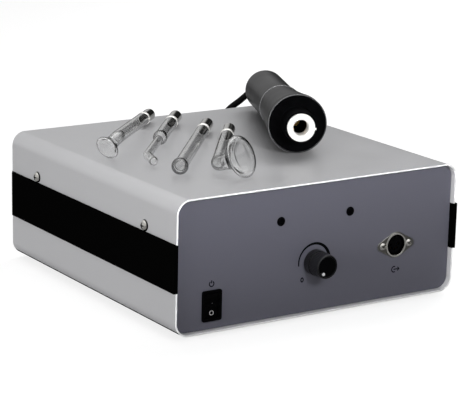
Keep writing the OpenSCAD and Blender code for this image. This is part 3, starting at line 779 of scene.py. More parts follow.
# Painted reflection: near-black on a domed screw's rim, standing in for the dark room that it mirrors.
SCREW_RIM_REFLECTION = Finish("nickel", (0.03, 0.03, 0.03), (0.12, 0.2), metal=1.0, tag="rim")
# Painted reflection: dark nickel on the socket flange's front face, standing in for the dark room that it
# mirrors.
FLANGE_DARK_REFLECTION = Finish("nickel", (0.2, 0.195, 0.18), (0.3, 0.4), metal=1.0, effect=Effect.BRUSHING, tag="dark_reflection")
RUBBER = Finish("foot_rubber", srgb(26, 26, 27), (0.75, 0.85), relief=0.2, speckle_scale=1500)
BLACK = Finish("black_plastic", srgb(8, 8, 9), (0.36, 0.46), relief=0.08, speckle_scale=1600, gloss=0.12)
DARK = Finish(
    "black_plastic", srgb(4, 4, 5), (0.5, 0.6), relief=0.06, speckle_scale=1600,
    gloss=0.03, tag="matt",
)
GRIP = Finish(
    "grip_black", srgb(14, 14, 16), (0.34, 0.42), relief=0.05, speckle_scale=1400,
    dust=0.02, gloss=0.2,
)
# Painted highlight: light grey on the sleeve's edges at the seam and at the front rim.
SLEEVE_EDGE_HIGHLIGHT = Finish("grip_black", srgb(112, 112, 114), (0.3, 0.4), relief=0.05, tag="edge_highlight")
SATIN = Finish(
    "black_plastic", srgb(20, 20, 22), (0.26, 0.34), relief=0.1, speckle_scale=1600,
    gloss=0.5, tag="satin",
)
MARK = Finish("mark_white", srgb(226, 226, 228), (0.4, 0.5))
LENS = Finish("lamp_dark", srgb(3, 3, 4), (0.2, 0.3), gloss=0.03)
BRASS = Finish("contact_brass", (0.66, 0.42, 0.14), (0.22, 0.34), metal=1.0, effect=Effect.BRUSHING)
LEAF = Finish("contact_brass", (0.9, 0.55, 0.14), (0.3, 0.4), metal=0.4, tag="leaf")
POT = Finish("pot_steel", (0.5, 0.5, 0.5), (0.3, 0.4), metal=1.0, effect=Effect.BRUSHING)
CORE = Finish("core_steel", (0.2, 0.2, 0.21), (0.45, 0.6), metal=0.8, effect=Effect.BRUSHING, speckle=0.2)
COPPER = Finish(
    "winding_copper", (0.45, 0.18, 0.06), (0.3, 0.4), metal=0.8,
    effect=Effect.BRUSHING, speckle=0.3,
)
BOARD = Finish("board_green", srgb(38, 92, 52), (0.35, 0.45), speckle=0.1, speckle_scale=300)
SINK = Finish("sink_aluminium", (0.6, 0.6, 0.61), (0.35, 0.45), metal=1.0, effect=Effect.BRUSHING)
CAN = Finish("can_blue", srgb(34, 44, 72), (0.3, 0.4))
WHITE = Finish("bush_white", srgb(240, 239, 236), (0.28, 0.36), speckle=0.015, coat=0.1)
CREAM = Finish("former_cream", srgb(226, 218, 202), (0.5, 0.6))
SHEATH = Finish("lead_black", srgb(8, 8, 9), (0.46, 0.56), relief=0.12, speckle_scale=900, gloss=0.1)
# All glass gets painted dark rims toward glancing walls.
GLASS = ClearGlass("clear_glass", (0.99, 0.992, 0.99), (0.0, 0.02), speckle=0.01, speckle_scale=120)
# Glass of the electrode heads, whose painted dark rims come in sooner; the ball's are darker and wider.
END_GLASS_DARK_RIMS = replace(GLASS, painted_rim_span=(0.55, 0.7), tag="end")
BALL_GLASS_DARK_RIMS = replace(GLASS, rim=(0.005, 0.005, 0.006), painted_rim_span=(0.26, 0.5), tag="ball")
CHROME = Finish("cap_steel", (0.45, 0.44, 0.42), (0.05, 0.11), metal=1.0, speckle=0.02)
# Painted highlight: a bright, rough finish on the cap's bead, so that it reads as a white ring.
BEAD_HIGHLIGHT = Finish("cap_steel", (0.92, 0.91, 0.88), (0.3, 0.4), metal=0.5, speckle=0.02, tag="bead")


def add_piece(
    shape: Shape, name: str, body: str, finish: Finish, nodes: Sequence[str] | None = None,
    smooth: float = SMOOTH_ANGLE,
) -> Object:
    """Make an object of a shape, dress it and hang it on its body.

    Args:
        shape: Finished shape.
        name: Name of the piece.
        body: Body that carries it.
        finish: Finish of the whole piece.
        nodes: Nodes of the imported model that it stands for; the one of its own name when not given.
        smooth: Angle in degrees up to which neighbouring faces are shaded as one.

    Returns:
        The new object.
    """
    mesh = shape.mesh(name)
    shape.bm.free()
    mesh.materials.append(finish.material())
    mesh.shade_smooth()
    mesh.set_sharp_from_angle(angle=math.radians(smooth))
    piece = stand(name, mesh)
    even = piece.modifiers.new("even_normals", "WEIGHTED_NORMAL")
    even.keep_sharp = True
    return hang(piece, body, [name] if nodes is None else nodes)


def add_turned(
    name: str, body: str, finish: Finish, profile: Profile, place: Matrix, rounding: Rounding, steps: int,
    closed: bool = False,
) -> Object:
    """Add a piece that is turned from a profile with rounded corners."""
    outline = soften(profile, *rounding, closed)
    return add_piece(Shape().revolve(outline, place, steps, closed), name, body, finish)


def refinish(
    piece: Object, finish: Finish, chosen: Callable[[Vector, Vector], bool], place: Matrix | None = None
) -> None:
    """Give some faces of a piece a second finish.

    Args:
        piece: Piece whose faces are looked at.
        finish: Finish of the chosen faces.
        chosen: Choice by a face's middle in millimetres and its normal.
        place: Frame in which the middle is given; the frame of the whole set when not given.
    """
    mesh = piece.data
    mesh.materials.append(finish.material())
    inward = Matrix() if place is None else place.inverted()
    for face in mesh.polygons:
        if chosen(inward @ (face.center / MM), face.normal):
            face.material_index = len(mesh.materials) - 1


def hang(piece: Object, body: str, nodes: Sequence[str]) -> Object:
    """Tie a piece to its body and the nodes that it stands for, and report it.

    Args:
        piece: Piece to tie.
        body: Body that carries it.
        nodes: Nodes that it stands for, if any.

    Returns:
        The same piece.
    """
    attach(piece, body)
    if nodes:
        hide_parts(*nodes)
    LOG.info("%s rides on %s", piece.name, body)
    return piece


def dress_nodes(finish: Finish, *nodes: str) -> None:
    """Give nodes that stay as they are their finish.

    Args:
        finish: Finish of the nodes.
        nodes: Names of the nodes.
    """
    for node in nodes:
        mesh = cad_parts[node].data
        mesh.materials.clear()
        mesh.materials.append(finish.material())
        LOG.info("%s keeps its own mesh", node)


def screw_head(radius: float, height: float) -> Shape:
    """Make a domed screw head with a cross recess.

    Args:
        radius: Radius of the head.
        height: Height of its dome.

    Returns:
        The head, underside at zero, axis along Z.
    """
    ball = (radius**2 + height**2) / (2 * height)
    rim = math.asin(radius / ball)
    dome = [(ball * math.sin(rim * k / 10), height - ball + ball * math.cos(rim * k / 10)) for k in range(11)]
    head = Shape().revolve([*dome, (radius * 0.98, -0.2), (0.0, -0.2)], Matrix(), 48)
    for turn in (0, 90):
        blade = round_rect(radius * 1.05, radius * 0.24, radius * 0.08, 2)
        place = spin(turn, "Z")
        head.cut(Shape().plate(blade, [], height - radius * 0.36, height + 1.0, place))
    return head.bevel(radius * 0.025, 2, 38)


def pair(place: Matrix, pitch: float, height: float) -> list[Matrix]:
    """Return two frames side by side at a height over another."""
    return [place @ Matrix.Translation((side * pitch / 2, 0, height)) for side in (-1, 1)]


def add_screws(name: str, radius: float, height: float, places: Iterable[Matrix]) -> Object:
    """Add a set of equal screws to the case.

    Args:
        name: Name of the piece.
        radius: Radius of a head.
        height: Height of a head.
        places: Frames on which the heads lie.

    Returns:
        The new object.
    """
    screw = screw_head(radius, height)
    screws = Shape()
    for place in places:
        screws.add(screw, place)
    return add_piece(screws, name, "case", NICKEL)


def recessed(
    flange: Profile, well: Profile, opening: Profile, heights: Triple, rounding: Rounding, place: Matrix
) -> Shape:
    """Make a flange with a well behind its opening.

    Args:
        flange: Outline of the flange.
        well: Outer outline of the well.
        opening: Outline of the opening and of the inside of the well.
        heights: Top of the flange, then the upper and lower face of the well's floor.
        rounding: Radius of the flange's edges and its pieces.
        place: Frame on the face that carries the flange.

    Returns:
        The new shape.
    """
    top, floor, under = heights
    made = Shape().plate(flange, [opening], 0.0, top, place).bevel(*rounding)
    made.plate(well, [opening], floor, SEAT, place)
    return made.plate(well, [], under, floor, place)


def ribs(starts: Iterable[Point], depth: float, ends: Triple) -> list[Point]:
    """Return the ribs of a bend guard.

    Args:
        starts: Radius and place of the start of each rib.
        depth: Depth of the groove behind a rib.
        ends: Distances from a rib's start to its end and to the start and end of its groove.

    Returns:
        The profile along all ribs.
    """
    rise, fall, end = ends
    made: list[Point] = []
    for wide, low in starts:
        thin = wide - depth
        made += [(wide, low), (wide + 0.1, low + rise), (thin, low + fall), (thin, low + end)]
    return made


@dataclass(frozen=True)
class Softbox:
    """Soft rectangular light.

    Attributes:
        name: Name of the light.
        place: Place of its middle.
        size: Width and height.
        power: Power in watts.
        aim: Point that it looks at.
        spread: Opening angle of its beam, in degrees.
        mirrored: Whether metal and glass show it.
    """

    name: str
    place: Triple
    size: Point
    power: float
    aim: Triple = (0.0, 6.0, 49.0)
    spread: float = 180.0
    mirrored: bool = True

    def hang(self) -> None:
        """Hang the light."""
        data = bpy.data.lights.new(self.name, "AREA")
        data.shape = "RECTANGLE"
        data.size, data.size_y = self.size[0] * MM, self.size[1] * MM
        data.energy = self.power
        data.spread = math.radians(self.spread)
        lamp = stand(self.name, data)
        lamp.visible_camera = False
        lamp.visible_glossy = lamp.visible_transmission = self.mirrored
        lamp.location = Vector(self.place) * MM
        lamp.rotation_euler = (Vector(self.aim) - Vector(self.place)).to_track_quat("-Z", "Y").to_euler()


@dataclass
class Studio:
    """Camera, lights, floor and surroundings.

    Attributes:
        azimuth: Turn of the camera about the upright axis, in degrees.
        elevation: Height of the camera over the horizon, in degrees.
        roll: Turn of the camera about its own axis, in degrees.
        distance: Distance of the camera from its target.
        target: Point that the camera is aimed at.
        lens: Focal length on a 36 mm sensor.
        shift: Shift of the picture, in picture widths.
        ambient: Strength of the surroundings on diffuse surfaces.
        open_side: Level direction toward the brighter half of the room.
        haze: Brightness of that half in metal and glass.
        floor_radius: Radius of the floor.
        floor_tone: Grey of the floor as a surface.
        floor_glow: Light of its own that the eye sees on the floor.
        lights: Soft lights round the set.
    """

    azimuth: float = -33.303
    elevation: float = 14.613
    roll: float = 1.274
    distance: float = 1420.77
    target: Triple = (0.0, 6.0, 49.0)
    lens: float = 152.48
    shift: Point = (0.01248, 0.00153)
    ambient: float = 0.1
    open_side: Triple = (-0.788, 0.616, 0.0)
    haze: float = 0.6
    floor_radius: float = 5000.0
    floor_tone: float = 0.36
    floor_glow: float = 0.78
    lights: tuple[Softbox, ...] = (
        Softbox("key_light", (900, 300, 1200), (500, 500), 6.4, mirrored=False),
        Softbox("top_light", (260, 320, 1500), (1500, 1300), 6.2),
        Softbox("left_light", (-1500, -200, 260), (1100, 480), 18.8, mirrored=False),
        Softbox("front_light", (-120, -420, 270), (500, 120), 0.41, mirrored=False),
        Softbox("panel_light", (-60, -500, 260), (560, 60), 0.25, (-20, -105, 130), 40.0, False),
        Softbox("fill_light", (1300, 900, 320), (900, 500), 5.0, mirrored=False),
    )

    def build(self) -> None:
        """Set up everything around the object."""
        self.camera()
        self.surroundings()
        self.floor()
        for light in self.lights:
            light.hang()
        scene = bpy.context.scene
        scene.view_settings.view_transform = "Standard"

    def camera(self) -> None:
        """Place the camera where the picture was taken from."""
        turn, rise, tip = (math.radians(v) for v in (self.azimuth, self.elevation, self.roll))
        right = Vector((math.cos(turn), math.sin(turn), 0))
        back = Vector((math.sin(turn) * math.cos(rise), -math.cos(turn) * math.cos(rise), math.sin(rise)))
        up = back.cross(right)
        side = right * math.cos(tip) + up * math.sin(tip)
        top = up * math.cos(tip) - right * math.sin(tip)
        eye = (Vector(self.target) + back * self.distance) * MM
        data = bpy.data.cameras.new("camera")
        data.sensor_width = 36.0
        data.sensor_fit = "HORIZONTAL"
        data.lens = self.lens
        data.shift_x, data.shift_y = self.shift
        data.dof.use_dof = False
        camera = stand("camera", data)
        camera.matrix_world = Matrix.Translation(eye) @ Matrix((side, top, back)).transposed().to_4x4()
        bpy.context.scene.camera = camera

    def surroundings(self) -> None:
        """Make the surroundings white to look at, soft as light, and half dark in metal and glass."""
        world = bpy.data.worlds.new("surroundings")
        world.use_nodes = True
        graph = Graph(world.node_tree)
        path = graph.add("ShaderNodeLightPath").outputs
        looked = graph.add("ShaderNodeTexCoord").outputs["Generated"]
        height = graph.add("ShaderNodeSeparateXYZ", {0: looked}).outputs["Z"]
        facing = graph.add("ShaderNodeVectorMath", {0: looked, 1: self.open_side}, operation="DOT_PRODUCT")
        side = facing.outputs["Value"]
        above = graph.between(height, 0.0, 1.0, (0.3, 0.75))
        room = graph.math("MAXIMUM", above, graph.between(side, 0.02, self.haze, (-0.03, 0.1)))
        tone = graph.math("MAXIMUM", room, path["Is Camera Ray"])
        seen = graph.math("MAXIMUM", path["Is Camera Ray"], path["Is Transmission Ray"])
        seen = graph.math("MAXIMUM", seen, path["Is Glossy Ray"])
        soft = graph.add("ShaderNodeBackground", {"Color": PLAIN_WHITE, "Strength": self.ambient}).outputs[0]
        white = graph.add("ShaderNodeBackground", {"Color": PLAIN_WHITE, "Strength": tone}).outputs[0]
        mixed = graph.add("ShaderNodeMixShader", {0: seen, 1: soft, 2: white}).outputs[0]
        graph.add("ShaderNodeOutputWorld", {"Surface": mixed})
        bpy.context.scene.world = world

    def floor(self) -> None:
        """Lay a pale floor that reads white and keeps the shadow."""
        shape = Shape().plate(circle(self.floor_radius, 96), [], -20.0, 0.0, Matrix())
        mesh = shape.mesh("floor")
        shape.bm.free()
        material = bpy.data.materials.new("floor_finish")
        material.use_nodes = True
        graph = Graph(material.node_tree)
        grain = graph.add("ShaderNodeGroup", {"Scale": 60.0, "Depth": 0.01}, node_tree=Effect.GRAIN.group())
        grey = (self.floor_tone, self.floor_tone, self.floor_tone, 1.0)
        tone = graph.blend(1.0, grey, grain.outputs["Tone"], "MULTIPLY")
        inputs = {"Base Color": tone, "Roughness": 0.9, "Specular IOR Level": 0.0}
        shader = graph.add("ShaderNodeBsdfPrincipled", inputs)
        path = graph.add("ShaderNodeLightPath").outputs
        seen = graph.math("MAXIMUM", path["Is Camera Ray"], path["Is Transmission Ray"])
        strength = graph.math("MULTIPLY", seen, self.floor_glow)
        glow = graph.add("ShaderNodeEmission", {"Color": PLAIN_WHITE, "Strength": strength})
        mixed = graph.add("ShaderNodeAddShader", {0: shader.outputs[0], 1: glow.outputs[0]}).outputs[0]
        graph.add("ShaderNodeOutputMaterial", {"Surface": mixed})
        mesh.materials.append(material)
        ground = stand("floor", mesh)


@dataclass
class MetalCase:
    """Two bent shells, side rails, screws, feet and the two panels.

    Attributes:
        half_width: Half of the outer width.
        front: Front edge of the shells.
        rear: Rear edge of the shells.
        low: Height of the underside.
        high: Height of the lid.
        corner: Outer corner radius.
        sheet: Sheet thickness.
        rail: Lower and upper edge of the rails.
        groove: Depth of a shell's edge in the rail.
        proud: Stand of the rails over the shells.
        rail_slope: Length of the slope at the rear end of a rail.
        rail_flush: Stand of a rail at the end of its slope.
        play: Gap between a shell and the inside of a rail.
        shelf: Thickness, overlap and inset of the shelf behind a rail.
        pale_strip_depth: Depth of the strip inside the front of a shell that is painted paler, a painted
            light.
        under_turn: Least upright share of the normal on the underside that gets painted shade.
        lip_turn: Least lengthwise share of the normal on the sheet edges with a painted highlight.
        screw_z: Height of the cover screws.
        screw_y: Places of the cover screws.
        screw_size: Radius and height of a cover screw.
        rim_turn: Greatest sideways share of the normal on a screw's rim with a painted dark reflection.
        foot: Distance of a foot from the middle, and from the front or rear edge.
    """

    half_width: float = 114.0
    front: float = -109.0
    rear: float = 121.0
    low: float = 3.0
    high: float = 95.0
    corner: float = 10.0
    sheet: float = 1.2
    rail: Point = (33.5, 66.0)
    groove: float = 5.9
    proud: float = 2.0
    rail_slope: float = 3.2
    rail_flush: float = 0.1
    play: float = 0.1
    shelf: Triple = (3.2, 11.0, 6.2)
    pale_strip_depth: float = 6.0
    under_turn: float = 0.62
    lip_turn: float = 0.3
    screw_z: float = 70.0
    screw_y: Point = (-69.0, 81.0)
    screw_size: Point = (4.0, 2.8)
    rim_turn: float = 0.6
    foot: Point = (86.0, 28.0)

    def build(self) -> None:
        """Build and dress the case."""
        self.shell("top_cover", self.rail[1] - self.groove, self.high)
        self.shell("base_tray", self.rail[0] + self.groove, self.low)
        for name, side in (("side_rail_left", -1), ("side_rail_right", 1)):
            self.side_rail(name, side)
        self.screws()
        self.feet()
        dress_nodes(SLATE, "front_panel", "rear_panel")
        dress_nodes(NICKEL, "foot_screws")

    def shell(self, name: str, edge: float, far: float) -> None:
        """Bend one shell from its edge in one rail round to the other.

        Args:
            name: Name of the shell.
            edge: Height of its edges in the rails.
            far: Height of its flat face.
        """
        lift = 1 if far > edge else -1
        turn_z = far - lift * self.corner
        centre = self.half_width - self.corner
        bend = [(math.sin(a), math.cos(a)) for a in (math.radians(90 * k / 12) for k in range(13))]
        left = [(-self.half_width, edge, -1.0, 0.0)]
        left += [(-centre - self.corner * c, turn_z + lift * self.corner * s, -c, lift * s) for s, c in bend]
        path = left + [(-x, z, -nx, nz) for x, z, nx, nz in reversed(left)]
        half = self.sheet / 2
        lip = arc(half, 90, 270, 8)
        inner = self.front + self.pale_strip_depth
        loop = [(y, self.front + half + x) for x, y in lip] + [(-half, inner)]
        loop += [(-y, self.rear - half - x) for x, y in lip]
        rows = []
        for x, z, nx, nz in path:
            middle = Vector((x - nx * half, 0, z - nz * half))
            rows.append([middle + Vector((nx * d, y, nz * d)) for d, y in loop])
        piece = add_piece(Shape().skin(rows, ends=True), name, "case", SILVER)
        # Painted shade: downward-facing faces of the tray's low bend and underside are set in dark grey.
        floor = self.low + self.corner / 2
        refinish(piece, UNDERSIDE_SHADE, lambda spot, normal: abs(normal.z) > self.under_turn and spot.z < floor)
        # Painted light: the inside of the front overhang is set in paler silver.
        refinish(piece, RECESS_PAINTED_LIGHT, lambda spot, normal: spot.y < inner)
        # Painted highlight: the rounded sheet edges at front and rear are set in near-white.
        refinish(piece, LIP_HIGHLIGHT, lambda spot, normal: abs(normal.y) > self.lip_turn)

    def side_rail(self, name: str, side: int) -> None:
        """Run one rail along a side.

        Args:
            name: Name of the rail.
            side: Minus one for the left side, one for the right.
        """
        inside = self.half_width - self.sheet - self.play
        low, high = self.rail
        level = self.rear - self.rail_slope
        rows = []
        for y, proud in ((self.rear, self.rail_flush), (level, self.proud), (self.front, self.proud)):
            outside = self.half_width + proud
            section = [(inside, low), (outside, low), (outside, high), (inside, high)]
            rows.append([Vector((side * x, y, z)) for x, z in soften(section, 0.5, 4, closed=True)])
        rail = Shape().skin(rows, ends=True).bevel(0.25, 2)
        place = Matrix.Translation((0, self.rear, 0)) @ spin(90, "X")
        thick, over, inset = self.shelf
        near, far = side * inside, side * (inside - thick)
        shelf = [(near, low - over), (far, low - over), (far, high + over), (near, high + over)]
        rail.plate(shelf, [], inset, self.rear - self.front - inset, place)
        add_piece(rail, name, "case", RAIL)

    def screws(self) -> None:
        """Set the four cover screws, whose rims get a painted dark reflection."""
        sides = ((Face.LEFT, -self.half_width), (Face.RIGHT, self.half_width))
        places = [face.at(x, y, self.screw_z) for y in self.screw_y for face, x in sides]
        piece = add_screws("cover_screws", *self.screw_size, places)
        # Painted reflection: the steep rim of each dome is set in near-black.
        refinish(piece, SCREW_RIM_REFLECTION, lambda spot, normal: abs(normal.x) < self.rim_turn)

    def feet(self) -> None:
        """Set the four rubber feet."""
        profile = soften(
            [(1.6, 1.2), (3.4, 1.2), (3.4, 0.0), (7.0, 0.0), (8.0, 3.0), (1.6, 3.0)], 0.5, 3, closed=True
        )
        feet = Shape()
        out, inset = self.foot
        for x in (-out, out):
            for y in (self.front + inset, self.rear - inset):
                feet.revolve(profile, Matrix.Translation((x, y, 0)), 40, closed=True)
        add_piece(feet, "rubber_feet", "case", RUBBER)


@dataclass
class Controls:
    """Rocker switch, knob, lamps and the prints round them on the front panel.

    Attributes:
        panel: Place of the panel's face.
        switch: Middle of the switch.
        switch_size: Width and height of the switch bezel.
        switch_heights: Top of the bezel, then the upper and lower face of the well's floor.
        opening: Width and height of the opening in the bezel.
        well: Width and height of the well behind it.
        rocker_half: Half of the rocker's width.
        rocker_tilt: Tilt of the rocker at rest, in degrees.
        dish_half: Half of the height of the rocker's dished face.
        dish_top: Place of the middle of that face behind the pivot.
        dish_depth: Rise of that face toward its ends.
        knob: Middle of the knob.
        knob_radius: Radius of the knob.
        knob_length: Length of the knob.
        knob_rest: Direction of the dot at rest, in degrees.
        flutes: Number of flutes round the knob.
        flute_depth: Depth of a flute.
        dot: Distance of the dot from the axis, and its radius.
        lamps: Places of the two lamps along the panel.
        lamp_z: Height of the lamps.
        stroke: Width of the printed signs.
        power_rise: Height of the power sign over the switch.
        output_sign: Place of the output sign.
    """

    panel: float = -105.0
    switch: Point = (-84.5, 20.6)
    switch_size: Point = (15.0, 21.0)
    switch_heights: Triple = (1.6, -9.0, -14.0)
    opening: Point = (11.2, 17.6)
    well: Point = (13.0, 19.2)
    rocker_half: float = 5.3
    rocker_tilt: float = 10.0
    dish_half: float = 8.38
    dish_top: float = 0.25
    dish_depth: float = 1.6
    knob: Point = (-3.0, 39.0)
    knob_radius: float = 8.8
    knob_length: float = 15.4
    knob_rest: float = -125.0
    flutes: int = 48
    flute_depth: float = 0.16
    dot: Point = (5.6, 1.15)
    lamps: Point = (-31.0, 25.6)
    lamp_z: float = 70.4
    stroke: float = 0.8
    power_rise: float = 14.6
    output_sign: Point = (65.4, 23.9)

    def build(self) -> None:
        """Build and dress the controls."""
        self.housing()
        self.rocker()
        self.turning_knob()
        self.indicator_lamps()
        self.prints()
        dress_nodes(BRASS, "switch_terminals")
        dress_nodes(POT, "pot_body")
        dress_nodes(NICKEL, "pot_nut", "pot_shaft")

    def housing(self) -> None:
        """Build the bezel and the well of the switch."""
        place = Face.FRONT.at(self.switch[0], self.panel, self.switch[1])
        bezel = round_rect(*self.switch_size, 1.6)
        well = round_rect(*self.well, 0.3, 2)
        opening = round_rect(*self.opening, 0.4, 2)
        housing = recessed(bezel, well, opening, self.switch_heights, (0.45, 3), place)
        add_piece(housing, "switch_housing", "case", DARK)

    def rocker(self) -> None:
        """Build the rocker and its two marks."""
        swing = Matrix.Translation((self.switch[0], self.panel + 0.4, self.switch[1]))
        swing = swing @ spin(self.rocker_tilt, "X")
        cross = spin(90, "Z") @ spin(90, "X")
        dish = [
            (self.dish_top - self.dish_depth * (k / 8) ** 2, self.dish_half * k / 8) for k in range(-8, 9)
        ]
        outline = dish + [(1.5, 8.36), (3.2, 7.87), (5.0, 6.87), (5.0, -6.87), (3.2, -7.87), (1.5, -8.36)]
        half = self.rocker_half
        rocker = Shape().plate(outline, [], -half, half, swing @ cross).bevel(0.35, 3, 30)
        pivot = [(0.0, -6.3), (1.0, -6.3), (1.0, 6.3), (0.0, 6.3)]
        rocker.revolve(pivot, swing @ spin(90, "Y"), 20)
        add_piece(rocker, "switch_rocker", "power_rocker", DARK)
        marks = Shape()
        marks.ribbon([(0.9, -0.9), (0.9, 0.9)], 0.24, swing @ self.on_dish(0.6), 0.05)
        marks.ribbon(circle(1.45, 32, 0.9), 0.42, swing @ self.on_dish(-5.6), 0.05, closed=True)
        add_piece(marks, "switch_marks", "power_rocker", MARK, ())

    def on_dish(self, height: float) -> Matrix:
        """Find a place on the rocker's dished face.

        Args:
            height: Height over the middle of the face.

        Returns:
            The frame, Z out of the face.
        """
        share = height / self.dish_half
        along = Vector((0, -2 * self.dish_depth * share / self.dish_half, 1)).normalized()
        out = Vector((1, 0, 0)).cross(along)
        turn = Matrix((Vector((1, 0, 0)), along, out)).transposed().to_4x4()
        return Matrix.Translation((0, self.dish_top - self.dish_depth * share**2, height)) @ turn

    def turning_knob(self) -> None:
        """Build the knob with its step and flutes, and its dot."""
        place = Face.FRONT.at(self.knob[0], self.panel - 0.6, self.knob[1])
        radius, length = self.knob_radius, self.knob_length
        corners = [
            (3.0, 3.0), (6.5, 3.0), (6.5, 0.0), (radius, 0.0), (radius, 5.2), (radius - 0.7, 5.4),
            (radius - 0.7, 6.1), (radius - 0.1, 6.4), (radius - 0.5, length - 0.7), (radius - 1.2, length),
            (7.0, length - 0.05), (6.9, length - 0.25), (0.0, length - 0.25),
        ]

        def depth(height: float, angle: float) -> float:
            """Shape the fine flutes on the knob's side.

            Args:
                height: Height along the knob.
                angle: Angle round it, in radians.

            Returns:
                Depth to take off the radius.
            """
            rear = held((height - 0.8) / 0.6) * held((4.6 - height) / 0.5)
            fore = held((height - 7.0) / 0.6) * held((length - 1.4 - height) / 0.6)
            wave = (0.5 + 0.5 * math.cos(self.flutes * angle)) ** 2
            return self.flute_depth * max(rear, fore) * wave

        profile = refine(soften(corners, 0.25, 3), 0.7, round)
        knob = Shape().revolve(profile, place, 288, flutes=depth)
        piece = add_piece(knob, "control_knob", "level_knob", SATIN, smooth=40)
        # Painted shade: the knob's front face is set in the darker matt black, keeping it darker than the
        # satin side.
        refinish(piece, DARK, lambda spot, normal: normal.y < FRONTAL)
        turn = math.radians(self.knob_rest)
        reach, wide = self.dot
        spot = place @ Matrix.Translation((reach * math.cos(turn), reach * math.sin(turn), 0))
        dot = [(0.0, length - 0.6), (wide, length - 0.6), (wide, length - 0.1), (0.0, length - 0.02)]
        add_turned("knob_dot", "level_knob", MARK, dot, spot, (0.15, 3), 32)

    def indicator_lamps(self) -> None:
        """Build the two dark lenses."""
        profile = soften([(0.0, -8.0), (2.5, -8.0), (2.5, 0.0), (3.2, 0.0), (3.2, 0.4), (2.8, 0.7)], 0.2, 3)
        dome = [(2.6 * math.cos(a), 0.7 + 0.7 * math.sin(a)) for a in (math.pi / 2 * k / 8 for k in range(8))]
        lamps = Shape()
        for x in self.lamps:
            lamps.revolve([*profile, *dome, (0.0, 1.4)], Face.FRONT.at(x, self.panel, self.lamp_z), 40)
        add_piece(lamps, "indicator_lamps", "case", LENS)

    def prints(self) -> None:
        """Print the rising arc round the knob, its first number and two plain signs."""
        prints = Shape()
        dial = Face.FRONT.at(self.knob[0], self.panel, self.knob[1])
        sweep = arc(12.6, 188, -8, 56)
        prints.ribbon(sweep, [0.85 + 1.6 * k / 56 for k in range(57)], dial)
        number = [(-9.4 + 0.95 * x, -11.6 + 1.4 * y) for x, y in circle(1.0, 28)]
        prints.ribbon(number, self.stroke, dial, closed=True)
        power = Face.FRONT.at(self.switch[0], self.panel, self.switch[1] + self.power_rise)
        output = Face.FRONT.at(self.output_sign[0], self.panel, self.output_sign[1])
        signs = (
            (power, arc(1.75, 125, 415, 28)),
            (power, [(0.0, 0.3), (0.0, 2.4)]),
            (output, arc(2.0, 60, 300, 24)),
            (output, [(-0.4, 0.0), (4.2, 0.0)]),
            (output, [(2.9, 1.3), (4.5, 0.0), (2.9, -1.3)]),
        )
        for place, line in signs:
            prints.ribbon(line, self.stroke, place)
        add_piece(prints, "panel_prints", "case", DARK, ())


@dataclass
class OutputSocket:
    """Five-pole round socket with its oval flange.

    Attributes:
        middle: Middle of the socket on the panel.
        panel: Place of the panel's face.
        pitch: Distance of the two screws.
        screw_size: Radius and height of a screw.
        bore: Radius of the opening.
        sheet: Thickness of the flange.
        depth: Depth of the wall behind the flange.
    """

    middle: Point = (65.4, 41.7)
    panel: float = -105.0
    pitch: float = 22.3
    screw_size: Point = (2.7, 1.6)
    bore: float = 7.4
    sheet: float = 1.0
    depth: float = 14.0

    def outline(self) -> list[Point]:
        """Lay out the oval outline of the flange.

        Returns:
            Points round the outline.
        """
        big, small, reach = 9.2, 3.1, 12.6
        lean = math.degrees(math.acos((big - small) / reach))
        right = arc(big, 180 - lean, lean, 20) + arc(small, lean, -lean, 12, reach)
        left = arc(big, -lean, lean - 180, 20) + arc(small, 180 + lean, 180 - lean, 12, -reach)
        return right + left

    def build(self) -> None:
        """Build and dress the socket."""
        place = Face.FRONT.at(self.middle[0], self.panel, self.middle[1])
        bore, depth = self.bore, self.depth
        flange = Shape().plate(self.outline(), [circle(bore, 64)], 0.0, self.sheet, place).bevel(0.3, 3)
        rolled = [(bore - 0.1, 0.6), (bore - 0.1, 1.5), (bore + 1.1, 1.5), (bore + 1.3, 0.9)]
        flange.revolve(soften(rolled, 0.5, 5, closed=True), place, 64, closed=True)
        wall = [(bore, -depth), (bore + 0.6, -depth), (bore + 0.6, 0.4), (bore, 0.4)]
        flange.revolve(wall, place, 64, closed=True)
        piece = add_piece(flange, "socket_flange", "case", NICKEL)
        # Painted reflection: the flange's flat front face is set in dark nickel.
        refinish(piece, FLANGE_DARK_REFLECTION, lambda spot, normal: normal.y < FRONTAL and spot.y > self.panel - 1.2)
        add_screws("socket_screws", *self.screw_size, pair(place, self.pitch, self.sheet))
        dress_nodes(DARK, "socket_insert")
        dress_nodes(BRASS, "socket_contacts")


